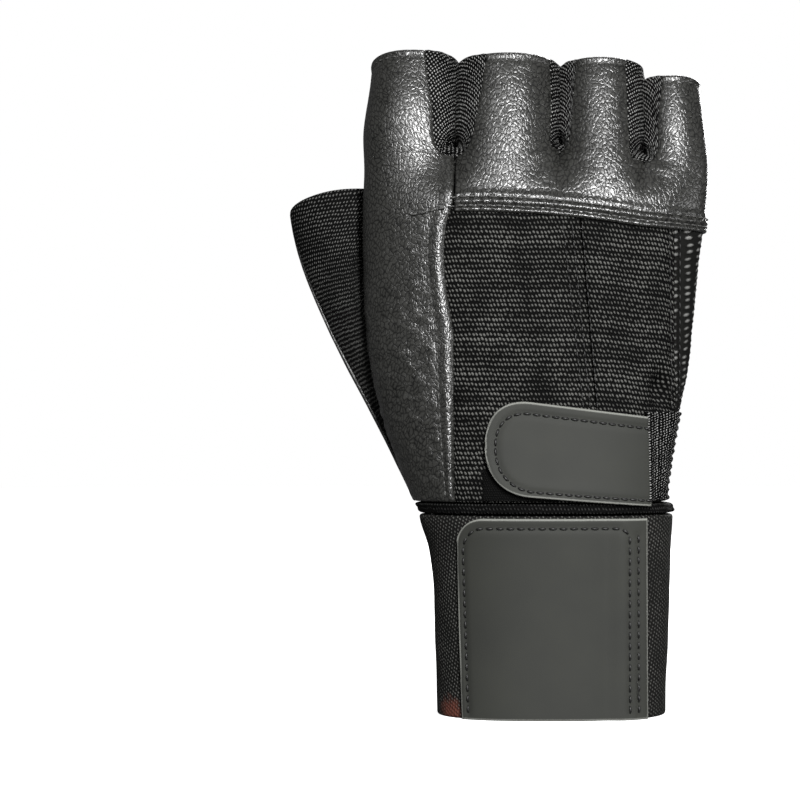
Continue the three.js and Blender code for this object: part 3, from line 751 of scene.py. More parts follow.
def merge(parts: Sequence[MeshData]) -> MeshData:
    """Puts several meshes into one.

    Args:
        parts: The meshes.

    Returns:
        One mesh with the parts side by side.
    """
    offset = 0
    faces: list[list[int]] = []
    slots: list[int] = []
    for part in parts:
        faces += [[v + offset for v in face] for face in part.faces]
        slots += part.slots
        offset += len(part.verts)
    gather = lambda name: np.concatenate([getattr(part, name) for part in parts])
    return MeshData(gather("verts"), faces, gather("weave"), gather("edge"), slots)


@dataclass(frozen=True)
class Stock:
    """What a piece is cut from: its outer and inner finish, and the name of a material slot."""

    materials: tuple[Material, ...]
    slot: str


def make_piece(name: str, data: MeshData, stock: Stock, *replaced: str) -> bpy.types.Object:
    """Makes the Blender object of a piece, riding on the glove.

    Args:
        name: The piece's name.
        data: Its mesh.
        stock: What it is made of.
        *replaced: The solids that it stands for.

    Returns:
        The object.
    """
    mesh = bpy.data.meshes.new(name)
    mesh.from_pydata((data.verts * METRES).tolist(), [], data.faces)
    for layer, values in ((WEAVE_LAYER, data.weave), (EDGE_LAYER, data.edge)):
        uv = mesh.uv_layers.new(name=layer)
        corners = np.zeros(len(mesh.loops), dtype=np.int32)
        mesh.loops.foreach_get("vertex_index", corners)
        uv.data.foreach_set("uv", values[corners].astype(np.float32).reshape(-1))
    for material in stock.materials:
        mesh.materials.append(material)
    mesh.polygons.foreach_set("material_index", data.slots)
    mesh.polygons.foreach_set("use_smooth", [True] * len(mesh.polygons))
    mesh.validate()
    mesh.update()
    piece = bpy.data.objects.new(name, mesh)
    bpy.context.scene.collection.objects.link(piece)
    if replaced:
        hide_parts(*replaced)
    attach(piece, "root")
    log.info("%s: %d faces", name, len(mesh.polygons))
    return piece


# Relief


@dataclass(frozen=True)
class Groove:
    """A sewn line that pulls the sheet in."""

    path: Array
    width: float = 1.0
    depth: float = 0.3
    pucker: float = 0.0
    pitch: float = 2.8
    reach: float = 3.0

    def lift(self, points: Array) -> Array:
        """Change of lift near the line.

        Args:
            points: Places on the sheet.

        Returns:
            The change at each place: a groove, with puckers that run out of it.
        """
        rows, along = resample(self.path, 0.3)
        samples = read_rows(self.path, rows)
        index, distance = nearest(points, samples)
        wave = np.cos(along[index] * math.tau / self.pitch + 1.7 * np.sin(along[index] / 7.0))
        sway = 0.6 + 0.4 * np.sin(along[index] / 11.0)
        return -self.depth * bell(distance, self.width) + self.pucker * wave * sway * bell(
            distance - self.width, self.reach
        )


def wrinkles(points: Array, seed: float, stretch: tuple[float, float] = (1.0, 1.0)) -> Array:
    """Soft wrinkles of thin leather.

    Args:
        points: Places along the leather, in millimetres.
        seed: Moves the pattern.
        stretch: How much longer the wrinkles are along each coordinate.

    Returns:
        Lift in millimetres.
    """
    places = points / np.array(stretch)
    warp = np.stack([noise_at(places, 9.0, seed + 5), noise_at(places, 9.0, seed + 9)], -1)
    places = places + warp * 3.0
    ridges = 1 - np.abs(noise_at(places, 3.4, seed)) * 2.4
    broad = noise_at(places, 14.0, seed + 2)
    return 0.05 * ridges * (0.6 + 0.6 * broad) + 0.12 * broad


# Materials


def linear(colour: str) -> tuple[float, float, float, float]:
    """Turns an sRGB hex colour to linear.

    Args:
        colour: Such as "#3a3a38".

    Returns:
        Red, green, blue and alpha.
    """
    parts = [int(colour[k : k + 2], 16) / 255 for k in (1, 3, 5)]
    out = [c / 12.92 if c <= 0.04045 else ((c + 0.055) / 1.055) ** 2.4 for c in parts]
    return (out[0], out[1], out[2], 1.0)


def set_inputs(node: bpy.types.Node, values: dict[str | int, object]) -> None:
    """Links sockets to a node's inputs, and sets plain values on the others.

    Args:
        node: The node.
        values: A socket or a value for each input.
    """
    for key, value in values.items():
        if isinstance(value, Socket):
            node.id_data.links.new(value, node.inputs[key])
        else:
            node.inputs[key].default_value = value


def add_node(
    owner: Material | bpy.types.World,
    kind: str,
    values: dict[str | int, object] | None = None,
    output: str | int = 0,
    stops: Sequence[tuple[float, str]] = (),
    **settings: object,
) -> Socket:
    """Adds a node with its settings and links.

    Args:
        owner: The material or world.
        kind: The node's type, without its ShaderNode start.
        values: A socket or a value for each of its inputs.
        output: Which output is wanted.
        stops: Places and sRGB colours of a colour ramp.
        **settings: Attributes to set.

    Returns:
        The wanted output.
    """
    node = owner.node_tree.nodes.new(f"ShaderNode{kind}")
    for name, value in settings.items():
        setattr(node, name, value)
    set_inputs(node, values or {})
    if stops:
        elements = node.color_ramp.elements
        while len(elements) < len(stops):
            elements.new(0.5)
        for element, (place, colour) in zip(elements, stops):
            element.position = place
            element.color = linear(colour)
    return node.outputs[output]


def start_material(name: str) -> tuple[Material, bpy.types.Node]:
    """Starts a material with a lone surface shader.

    Args:
        name: Its name.

    Returns:
        The material and its shader.
    """
    material = bpy.data.materials.new(name)
    material.use_nodes = True
    material.node_tree.nodes.clear()
    surface = add_node(material, "BsdfPrincipled")
    output = material.node_tree.nodes.new("ShaderNodeOutputMaterial")
    set_inputs(output, {"Surface": surface})
    return material, surface.node


@dataclass(frozen=True)
class Leather:
    """Corrected-grain cowhide, drum-dyed black and lightly finished.

    The hide's pebbled grain breaks its soft shine into small glints, and its creases stay dull. The colour
    is painted shade in the creases and, on the raised pebble tops, partly wear and partly a painted
    highlight.
    """

    name: str = "black_cowhide_leather"
    top: str = "#262624"
    # crease: painted shade, the grain's creases coloured darker where shade falls.
    crease: str = "#020202"
    # worn: paler colour on the raised pebble tops, partly wear and partly a painted highlight.
    worn: str = "#343432"
    grain: float = 1.1
    slant: float = 0.5
    squeeze: float = 0.7
    drift: float = 2.6
    pebble_edge: float = 0.26
    roughness: float = 0.28
    relief: float = 0.085
    specular: float = 0.8

    def make(self) -> Material:
        """Builds the material.

        Returns:
            The material.
        """
        material, shader = start_material(self.name)
        uv = add_node(material, "UVMap", uv_map=WEAVE_LAYER)
        drift = add_node(material, "TexNoise", {"Vector": uv, "Scale": 0.3, "Detail": 3.0}, "Color")
        moved = add_node(
            material,
            "VectorMath",
            {0: drift, 1: (self.drift, self.drift, 0.0), 2: uv},
            operation="MULTIPLY_ADD",
        )
        grained = add_node(
            material,
            "Mapping",
            {"Vector": moved, "Rotation": (0.0, 0.0, self.slant), "Scale": (1.0, self.squeeze, 1.0)},
        )
        edges = add_node(
            material,
            "TexVoronoi",
            {"Vector": grained, "Scale": 1 / self.grain},
            voronoi_dimensions="2D",
            feature="DISTANCE_TO_EDGE",
        )
        pebbles = add_node(
            material, "MapRange", {"Value": edges, "From Min": 0.0, "From Max": self.pebble_edge}
        )
        fine = add_node(
            material,
            "TexNoise",
            {"Vector": grained, "Scale": 0.9, "Detail": 5.0, "Roughness": 0.65},
            noise_dimensions="2D",
        )
        broad = add_node(material, "TexNoise", {"Vector": uv, "Scale": 0.1, "Detail": 3.0})
        height = add_node(material, "Math", {0: pebbles, 1: 0.7, 2: fine}, operation="MULTIPLY_ADD")
        shade = add_node(material, "Math", {0: broad, 1: 0.4, 2: height}, operation="MULTIPLY_ADD")
        shade = add_node(material, "Math", {0: shade, 1: 0.6}, operation="MULTIPLY")
        # The ramp follows the grain's height: painted shade in the creases, and on the raised tops partly
        # wear and partly a painted highlight.
        stops = ((0.38, self.crease), (0.66, self.top), (0.95, self.worn))
        dull = {0: height, 1: -0.1, 2: self.roughness + 0.1}
        relief = {"Height": height, "Distance": self.relief * METRES}
        finish = {
            "Base Color": add_node(material, "ValToRGB", {"Fac": shade}, stops=stops),
            "Specular IOR Level": self.specular,
            "Roughness": add_node(material, "Math", dull, operation="MULTIPLY_ADD"),
            "Normal": add_node(material, "Bump", relief),
        }
        set_inputs(shader, finish)
        return material


@dataclass(frozen=True)
class FleshSide:
    """The hide's flesh side: unfinished, matt and slightly brown nap."""

    name: str = "leather_flesh_side"
    light: str = "#38352f"
    dark: str = "#1a1916"
    relief: float = 0.2

    def make(self) -> Material:
        """Builds the material.

        Returns:
            The material.
        """
        material, shader = start_material(self.name)
        uv = add_node(material, "UVMap", uv_map=WEAVE_LAYER)
        nap = add_node(material, "TexNoise", {"Vector": uv, "Scale": 1.4, "Detail": 5.0})
        stops = ((0.3, self.dark), (0.7, self.light))
        relief = {"Height": nap, "Distance": self.relief * METRES}
        finish = {
            "Base Color": add_node(material, "ValToRGB", {"Fac": nap}, stops=stops),
            "Roughness": 0.92,
            "Specular IOR Level": 0.25,
            "Normal": add_node(material, "Bump", relief),
        }
        set_inputs(shader, finish)
        return material


class Lay(Enum):
    """How far each row of a fabric's loops is shifted, as a share of a loop."""

    BRICK = 0.5
    TWILL = 0.36
    RIB = 0.0


@dataclass(frozen=True)
class Fabric:
    """Textured polyester and nylon yarn, knitted or woven so that its loops stand in rows.

    Each loop's filaments catch the light on top, painted as a paler loop colour, a painted highlight, and
    the gaps between loops are nearly black, a painted shade.
    """

    name: str
    # loop: painted highlight, the lit colour of each loop's top.
    loop: str
    # gap: the black yarn, in painted shade between the loops.
    gap: str
    across: float
    row: float
    lay: Lay = Lay.BRICK
    relief: float = 0.3
    roughness: float = 0.8
    # Strength of painted shade bands along the rows, where the fabric folds.
    fold_shade_banding: float = 0.6
    # Strength of random patches, partly uneven wear and partly a varying painted highlight.
    patches: float = 1.0
    fill: float = 2.3
    dark_until: float = 0.4
    specular: float = 0.08
    turn: float = 0.0
    stained: bool = False

    def make(self) -> Material:
        """Builds the material.

        Returns:
            The material.
        """
        material, shader = start_material(self.name)
        uv = add_node(material, "UVMap", uv_map=WEAVE_LAYER)
        turned = add_node(material, "Mapping", {"Vector": uv, "Rotation": (0.0, 0.0, self.turn)})
        waver = add_node(material, "TexNoise", {"Vector": turned, "Scale": 0.12, "Detail": 2.0}, "Color")
        laid = add_node(
            material,
            "VectorMath",
            {0: waver, 1: (0.8, 0.6, 0.0), 2: turned},
            operation="MULTIPLY_ADD",
        )
        wale = (1 / self.across, self.lay.value / self.row, 0.0)
        first = add_node(material, "VectorMath", {0: laid, 1: wale}, "Value", operation="DOT_PRODUCT")
        course = (0.0, 1 / self.row, 0.0)
        second = add_node(material, "VectorMath", {0: laid, 1: course}, "Value", operation="DOT_PRODUCT")
        cell = add_node(material, "CombineXYZ", {"X": first, "Y": second})
        loops = add_node(
            material,
            "TexVoronoi",
            {"Vector": cell, "Scale": 1.0, "Randomness": 0.22},
            voronoi_dimensions="2D",
            feature="F1",
        )
        # Painted shade: darker bands along the rows, where the fabric folds.
        fold_shade_band = add_node(
            material,
            "TexNoise",
            {"W": second, "Scale": 0.55, "Detail": 2.0},
            noise_dimensions="1D",
        )
        # Random patches, partly uneven wear and partly a varying painted highlight.
        patch = add_node(material, "TexNoise", {"Vector": uv, "Scale": 0.09, "Detail": 3.0})
        # light: how strongly the painted highlight shows, dimmed by the painted fold shade and the random
        # patches.
        light = {0: fold_shade_band, 1: self.fold_shade_banding, 2: 1 - self.fold_shade_banding / 2}
        light = add_node(material, "Math", light, operation="MULTIPLY_ADD")
        worn = {0: patch, 1: self.patches, 2: 1 - self.patches / 2}
        worn = add_node(material, "Math", worn, operation="MULTIPLY_ADD")
        light = add_node(material, "Math", {0: light, 1: worn}, operation="MULTIPLY")
        reach = {0: loops, 1: -self.fill, 2: 1.12}
        reach = add_node(material, "Math", reach, operation="MULTIPLY_ADD")
        height = add_node(material, "Math", {0: reach, 1: 0.0}, operation="MAXIMUM")
        shade = add_node(material, "Math", {0: height, 1: light}, operation="MULTIPLY")
        # Painted highlight on the loops' tops, fading to the gap colour as painted shade between loops.
        stops = ((self.dark_until, self.gap), (0.95, self.loop))
        colour = add_node(material, "ValToRGB", {"Fac": shade}, stops=stops)
        relief = {"Height": height, "Distance": self.relief * METRES}
        finish = {
            "Base Color": self._stain(material, colour) if self.stained else colour,
            "Roughness": self.roughness,
            "Specular IOR Level": self.specular,
            "Normal": add_node(material, "Bump", relief),
        }
        set_inputs(shader, finish)
        return material

    def _stain(self, material: Material, colour: Socket) -> Socket:
        """Adds the dark red stain at the wrap's lower corner on the thumb side.

        Args:
            material: The material.
            colour: The clean colour.

        Returns:
            The stained colour.
        """
        place = add_node(material, "TexCoord", output="Object")
        corner = {0: place, 1: (-0.0302, -0.0135, 0.0005)}
        away = add_node(material, "VectorMath", corner, "Value", operation="DISTANCE")
        rough = add_node(material, "TexNoise", {"Vector": place, "Scale": 420.0, "Detail": 4.0})
        reach = add_node(material, "Math", {0: rough, 1: 0.006, 2: away}, operation="MULTIPLY_ADD")
        fade = {"Value": reach, "From Min": 0.0055, "From Max": 0.0095, "To Min": 0.8, "To Max": 0.0}
        fade = add_node(material, "MapRange", fade)
        mixed = {0: fade, 6: colour, 7: linear("#643a30")}
        return add_node(material, "Mix", mixed, 2, data_type="RGBA")


@dataclass(frozen=True)
class TabFace:
    """Grey coated polyester on foam: almost flat, paler towards its cut edge, partly wear and partly a
    painted highlight.
    """

    name: str = "grey_coated_tab"
    dark: str = "#2a2b28"
    light: str = "#2e2f2b"
    # edge: paler colour along the edges, partly wear and partly a painted highlight.
    edge: str = "#7c7d78"
    rim: float = 0.5
    relief: float = 0.02

    def make(self) -> Material:
        """Builds the material.

        Returns:
            The material.
        """
        material, shader = start_material(self.name)
        uv = add_node(material, "UVMap", uv_map=WEAVE_LAYER)
        rim = add_node(material, "UVMap", uv_map=EDGE_LAYER)
        inward = add_node(material, "SeparateXYZ", {"Vector": rim}, "X")
        cloud = add_node(material, "TexNoise", {"Vector": uv, "Scale": 0.06, "Detail": 2.0})
        skin = add_node(material, "TexNoise", {"Vector": uv, "Scale": 3.0, "Detail": 3.0})
        # Distance in from the edge, roughened by noise: where the paler edge colour, partly wear and partly
        # painted highlight, reaches.
        worn = add_node(material, "Math", {0: skin, 1: 0.3, 2: inward}, operation="MULTIPLY_ADD")
        stops = ((0.3, self.dark), (0.7, self.light))
        coat = add_node(material, "ValToRGB", {"Fac": cloud}, stops=stops)
        fade = add_node(
            material,
            "MapRange",
            {"Value": worn, "From Min": self.rim, "From Max": self.rim + 0.35, "To Min": 1.0, "To Max": 0.0},
        )
        mixed = {0: fade, 6: coat, 7: linear(self.edge)}
        relief = {"Height": skin, "Distance": self.relief * METRES}
        finish = {
            "Base Color": add_node(material, "Mix", mixed, 2, data_type="RGBA"),
            "Roughness": 0.7,
            "Specular IOR Level": 0.3,
            "Normal": add_node(material, "Bump", relief),
        }
        set_inputs(shader, finish)
        return material


@dataclass(frozen=True)
class Thread:
    """Bonded nylon sewing thread: a small twisted cord with a dull shine."""

    name: str = "black_nylon_thread"
    colour: str = "#0a0a0a"
    light: str = "#1c1c1b"

    def make(self) -> Material:
        """Builds the material.

        Returns:
            The material.
        """
        material, shader = start_material(self.name)
        place = add_node(material, "TexCoord", output="Object")
        twist = add_node(material, "TexNoise", {"Vector": place, "Scale": 2200.0, "Detail": 2.0})
        stops = ((0.35, self.colour), (0.65, self.light))
        colour = add_node(material, "ValToRGB", {"Fac": twist}, stops=stops)
        set_inputs(shader, {"Base Color": colour, "Roughness": 0.5})
        return material


@dataclass
class Finishes:
    """What the glove's pieces are made of."""

    leather: Stock
    palm_leather: Stock
    back_knit: Stock
    edge_knit: Stock
    thumb_knit: Stock
    gusset: Stock
    binding: Stock
    elastic: Stock
    tab: Stock
    loop: Stock
    worn_thread: Stock
    thread: Material

    def sewn_on(self, slot: str) -> Stock:
        """Black thread on pieces of one slot."""
        return Stock((self.thread,), slot)


def make_finishes() -> Finishes:
    """Builds every material once.

    Returns:
        The materials, with the slots that they belong to.
    """
    leather = Leather().make()
    palm = Leather("black_cowhide_palm", slant=1.1, roughness=0.38).make()
    flesh = FleshSide().make()
    # Each fabric's first colour is the painted highlight on its loops' tops, and its second the black yarn
    # in painted shade between loops.
    back_knit = Fabric(
        "black_nylon_knit", "#60605d", "#020202", 1.05, 1.4, fold_shade_banding=1.2, patches=1.8, dark_until=0.28
    )
    edge_knit = Fabric("black_nylon_knit_edge", "#747472", "#121211", 5.0, 2.0, Lay.RIB, fill=2.5)
    thumb_knit = Fabric("black_nylon_knit_thumb", "#5e5e5c", "#020202", 1.0, 1.15, relief=0.2, fold_shade_banding=0.5)
    gusset = Fabric("black_ribbed_gusset", "#9c9c9a", "#010101", 0.75, 1.2, turn=math.pi / 2)
    binding = Fabric("black_knit_binding", "#333332", "#030303", 1.0, 1.3)
    elastic = Fabric(
        "black_woven_elastic",
        "#5c5c59",
        "#161615",
        1.1,
        1.0,
        Lay.TWILL,
        relief=0.2,
        roughness=0.7,
        fold_shade_banding=0.2,
        turn=0.6,
        stained=True,
    )
    loop = Fabric("black_loop_fabric", "#1b1b1a", "#040404", 0.7, 0.7, fold_shade_banding=0.2).make()
    return Finishes(
        leather=Stock((leather, flesh), "black_leather"),
        palm_leather=Stock((palm, flesh), "black_leather"),
        back_knit=Stock((back_knit.make(),), "black_knit"),
        edge_knit=Stock((edge_knit.make(),), "black_knit"),
        thumb_knit=Stock((thumb_knit.make(),), "black_knit"),
        gusset=Stock((gusset.make(),), "black_knit"),
        binding=Stock((binding.make(),), "black_knit"),
        elastic=Stock((elastic.make(),), "black_elastic"),
        tab=Stock((TabFace().make(), loop), "grey_tab"),
        loop=Stock((loop,), "loop_fabric"),
        worn_thread=Stock((Thread("black_thread_worn_grey", "#20201f", "#565654").make(),), "black_leather"),
        thread=Thread().make(),
    )


# Sub-assemblies


@dataclass
class SewnPart:
    """What every sub-assembly of the glove shares."""

    form: HandForm
    finishes: Finishes
    leather: float = 1.3
    knit: float = 1.1
    elastic: float = 1.7
    seam: float = 0.3
    binding_height: float = 3.2
    side_line: float = 0.16
    around_gap: float = 0.012

    @property
    def hand_bottom(self) -> float:
        """Height where the hand's sheets start."""
        return self.form.wrist_seam + self.binding_height + self.seam

    def path(self, around: Array, height: Array, lift: float) -> tuple[Array, Array]:
        """Points of a line on the form, and the ways off it."""
        base, way = self.form.frame(around, height)
        return base + way * lift, way

    def lay(self, around: Array, height: Array, ring: bool = False) -> Sheet:
        """Lays a grid of places on the hand."""
        return grid_sheet(around, height, self.form.frame, ring)

    def on_back(self, across: Array | float, height: Array | float) -> tuple[Array, Array]:
        """Points of the back at distances across, and the ways off it."""
        return self.form.frame(self.form.around_at(across, height), height)

    def lay_stall(
        self,
        index: int,
        columns: Array,
        rows: Array,
        valley: float,
        share: Array,
        span: Callable[[Array], tuple[Array, Array]],
        low: Callable[[Array], Array],
    ) -> Sheet:
        """Lays one finger's share of a leather.

        Args:
            index: Which finger.
            columns: Steps from its first side to its last.
            rows: Heights from the valley to the rim.
            valley: Height where those rows start.
            share: Steps from its lower edge to the valley.
            span: Places around of its two sides at each height.
            low: Height of its lower edge at each place around.

        Returns:
            The sheet.
        """
        bottom = low(lerp(*span(np.array([valley])), columns))
        bottom = lerp(bottom[:, None], valley, share[None, :])[:, :-1]
        height = np.hstack([bottom, np.broadcast_to(rows, (len(columns), len(rows)))])
        around = lerp(*span(height), columns[:, None])
        # Past 4.5 the sheet is on the palm, where the fingers count backwards.
        turn = (8 - around - index) if around.max() > 4.5 else (around - index)
        return self.lay(around, self.form.levelled(index, turn * math.pi, height))

    def make_palm(self, name: str, sheet: Sheet, lift: Array, solid: str) -> None:
        """Makes a piece of palm leather of even thickness."""
        data = thicken(sheet, lift, lift - self.leather, lining=1)
        make_piece(name, data, self.finishes.palm_leather, solid)

    def knit_left(self, height: Array) -> Array:
        """Place around of the knit back's inner edge."""
        at = (0.0, 0.23, 0.33, 0.41, 0.49, 0.56, 0.62, 0.7)
        edge = (-0.258, -0.258, -0.262, -0.28, -0.298, -0.305, -0.302, -0.284)
        share = (np.asarray(height, float) - self.form.wrist_seam) / self.form.hand_length
        across = SmoothTable(at, edge).at(share) * self.form.palm_breadth
        return np.minimum(self.form.around_at(across, height), 1.0)

    def pad_top(self, around: Array | float) -> Array:
        """Height of the palm pad's top seam."""
        share = np.clip((np.asarray(around, float) - 4.3) / 3, 0, 1)
        return self.form.hand_height(lerp(0.63, 0.665, share))


@dataclass
class BackLeather(SewnPart):
    """The leather over the index finger's side and over the knuckles."""

    row_step: float = 0.8
    hem_rise: float = 0.8
    hem_dip: float = 2.2
    hem_lines: tuple[tuple[float, float], ...] = ((3.9, 0.97), (1.6, 0.72))
    ridge_height: float = 0.6
    fold_size: float = 1.25
    fold_depth: float = 0.5
    valley_fold: float = 0.17
    rim_inset: float = 1.9
    roll_inset: float = 0.105
    hem_stitch: Stitch = Stitch(2.75, 2.0, 0.26)
    rim_stitch: Stitch = Stitch(2.4, 1.9, 0.22)

    def _index_right(self, height: Array) -> Array:
        """Right edge of the index leather."""
        hem = self.form.hem(1.0)
        edge = lerp(self.knit_left(height), 1.0, smooth(hem - 2, hem + 4, height))
        ulnar = self.form.notch(0, False)[1]
        return np.minimum(edge, 1.0 - self.form.opened(ulnar, height, 0)) - 0.004

    def _heights(self, low: float, valleys: Sequence[float], rim: float) -> Array:
        """Rows of heights that close up at valleys and at the rim."""
        close = np.array([0.0, 0.02, 0.08, 0.2, 0.45, 0.8])
        rows = [np.arange(low, rim, self.row_step), low + close, rim - close]
        rows += [self.form.hand_height(valley) + np.concatenate([close, -close]) for valley in valleys]
        return np.unique(np.round(np.clip(np.concatenate(rows), low, rim), 3))

    def build_index_side(self) -> None:
        """Builds the leather that wraps the index finger's side."""
        form = self.form
        rim = form.hand_height(form.fingers[0].rim)
        rows = self._heights(self.hand_bottom, (form.fingers[0].valley,), rim)
        columns = edge_steps(64, 45.0)
        height = np.broadcast_to(rows, (len(columns), len(rows)))
        left = -self.side_line + self.around_gap
        around = lerp(left, self._index_right(height), columns[:, None])
        height = form.levelled(0, around * math.pi, height)
        sheet = self.lay(around, height)
        lines = self.index_lines()
        share = (sheet.height - form.wrist_seam) / form.hand_length
        from_edge = self._index_right(sheet.height) - sheet.around
        hem_line = form.hem(1.0) + 4
        below = 1 - smooth(hem_line - 6, hem_line - 1, sheet.height)
        low_folds = noise_at(sheet.weave * np.array([0.42, 1.0]), self.fold_size, 3.0)
        lift = wrinkles(sheet.weave, 1.0, (1.0, 0.8))
        lift += self.fold_depth * low_folds * (1 - smooth(0.35, 0.62, share))
        lift *= lerp(1.0, smooth(0.07, 0.16, from_edge), below)
        ridge = bell(from_edge - 0.04, 0.04) * smooth(hem_line - 3, hem_line + 2, sheet.height)
        lift += self.ridge_height * ridge * (1 - smooth(0.8, 0.9, share))
        lift += (0.25 * bell(from_edge - 0.045, 0.03) - 0.6 * bell(from_edge, 0.02)) * below
        from_rim = form.levelled(0, sheet.around * math.pi, rim) - sheet.height
        lift += 0.2 * bell(from_rim - 0.8, 0.7)
        for line in lines:
            lift += line.lift(sheet.base)
        lift *= smooth(0.0, 2.0, sheet.height - self.hand_bottom) * 0.85 + 0.15
        data = thicken(sheet, lift, lift - self.leather, lining=1)
        make_piece("index_leather", data, self.finishes.leather, "index_side_leather")

    def index_lines(self) -> list[Groove]:
        """Sewn lines on the index leather."""
        form = self.form
        rows = np.linspace(self.hand_bottom + 1, form.hem(1.0) - 1, 60)
        edge, _ = form.frame(self.knit_left(rows) - self.roll_inset, rows)
        rim = form.hand_height(form.fingers[0].rim) - 1.7
        turns = np.linspace(-self.side_line + 0.02, 1 - 0.43, 40)
        top, _ = form.frame(turns, rim)
        rows = np.linspace(86.0, 152.0, 60)
        crotch, _ = form.frame(-self.side_line + 0.13, rows)
        joint, _ = form.frame(np.linspace(-self.side_line, -self.side_line + 0.13, 8), 98.8)
        return [
            Groove(edge, 0.6, 0.16, 0.05, 2.8, 1.4),
            Groove(top, 0.5, 0.26, 0.08, 2.4, 1.4),
            Groove(crotch, 0.5, 0.25, 0.08, 2.8, 1.4),
            Groove(joint, 0.4, 0.3),
        ]

    def _strip(self, index: int) -> Sheet:
        """One finger's share of the knuckle leather."""
        form = self.form
        radial, ulnar = form.notch(index, False)
        rim = form.hand_height(form.fingers[index].rim)
        start = form.hand_height(0.772) - 0.5
        shared = self._heights(start, (0.772, 0.784, 0.799), form.hand_height(0.799) + 0.8)
        upper = self._heights(shared[-1], (), rim)[1:]
        columns = edge_steps(34, 27.0)

        def span(height: Array) -> tuple[Array, Array]:
            left = index + form.opened(radial, height, index)
            right = index + 1 - form.opened(ulnar, height, index)
            if index == 1:
                left = np.maximum(left, 1 + 0.004)
            if index == 3:
                right = np.full_like(height, 4 + self.side_line - self.around_gap)
            return left, right

        rows = np.concatenate([shared, upper])
        return self.lay_stall(index, columns, rows, start, edge_steps(44, 18.0), span, form.hem)

    def hem_rows(self) -> list[tuple[Array, Array]]:
        """Places of the two stitch rows above the knuckle hem."""
        rows = []
        for rise, left in self.hem_lines:
            around = np.linspace(left, 4.12, 90)
            drop = self.hem_dip * (1 - smooth(0.68, 1.08, around))
            rows.append((around, self.form.hem(around) + rise - drop))
        return rows

    def rim_rows(self) -> list[tuple[Array, Array]]:
        """Places of the stitch row under each finger's rim."""
        form = self.form
        rows = []
        for index, finger in enumerate(form.fingers):
            height = np.full(40, form.hand_height(finger.rim) - self.rim_inset)
            radial, ulnar = form.notch(index, False)
            left = index + form.opened(radial, height, index) + 0.03
            right = index + 1 - form.opened(ulnar, height, index) - 0.03
            if index == 3:
                right = right + 0.12
            around = lerp(left, right, np.linspace(0, 1, 40))
            rows.append((around, form.levelled(index, (around - index) * math.pi, height)))
        return rows

    def valley_folds(self, points: Array) -> Array:
        """Creases that fan out below the valleys between the fingers."""
        lift = np.zeros(len(points))
        for boundary, finger in enumerate(self.form.fingers[:3], 1):
            base, _ = self.form.frame(float(boundary), self.form.hand_height(finger.valley))
            away = points - base
            reach = np.hypot(away[:, 0], away[:, 2])
            turn = np.arctan2(away[:, 0], -away[:, 2])
            fold = np.cos(turn * 7 + 1.3 * boundary) * bell(reach - 5.0, 4.0)
            lift += self.valley_fold * fold * smooth(-1.5, 2.0, -away[:, 2])
        return lift

    def build_knuckles(self) -> None:
        """Builds the leather over the knuckles, with its turned and sewn hem."""
        form = self.form
        sheet = join_sheets([self._strip(index) for index in (1, 2, 3)])
        above = sheet.height - form.hem(sheet.around)
        lift = self.hem_rise * (1 - smooth(3.4, 6.4, above))
        weave = sheet.base[:, ::2].copy()
        tilt = weave @ np.array([[0.8, 0.6], [-0.6, 0.8]])
        lift += wrinkles(tilt, 4.0, (0.8, 1.7)) * 0.9 + self.valley_folds(sheet.base)
        for around, height in self.hem_rows():
            base, _ = form.frame(around, height)
            lift += Groove(base, 0.6, 0.5, 0.16, self.hem_stitch.pitch, 1.8).lift(sheet.base)
        lift += 0.3 * bell(above - 2.75, 0.8) + 0.2 * bell(above - 0.7, 0.6)
        rims = np.array([form.hand_height(finger.rim) for finger in form.fingers])
        index = np.clip(np.floor(sheet.around).astype(int), 1, 3)
        side = 1 - np.abs(np.sin((sheet.around - index) * math.pi))
        from_rim = rims[index] + form.rim_rise * side - sheet.height
        lift += 0.25 * bell(from_rim - 0.8, 0.7) - 0.28 * bell(from_rim - self.rim_inset, 0.4)
        bottom = np.minimum(lift, 0.9) - self.leather
        data = thicken(sheet, lift, bottom, lining=1)
        sheet.weave[:] = weave
        data.weave[: len(weave)] = weave
        make_piece("knuckle_panel", data, self.finishes.leather, "knuckle_leather")

    def build_stitches(self) -> None:
        """Sews the hem, the rolled edge by the knit and the finger rims."""
        rows = []
        for around, height in self.hem_rows():
            path, way = self.path(around, height, 0.72)
            rows.append(stitch_row(path, way, self.hem_stitch))
        for around, height in self.rim_rows():
            path, way = self.path(around, height, -0.12)
            rows.append(stitch_row(path, way, self.rim_stitch))
        heights = np.linspace(self.hand_bottom + 1, self.form.hem(1.0) + 1, 70)
        path, way = self.path(self.knit_left(heights) - self.roll_inset, heights, -0.05)
        rows.append(stitch_row(path, way, self.hem_stitch))
        make_piece("back_stitches", merge(rows), self.finishes.worn_thread)

    def build(self) -> None:
        """Builds every piece of the back's leather."""
        self.build_index_side()
        self.build_knuckles()
        self.build_stitches()


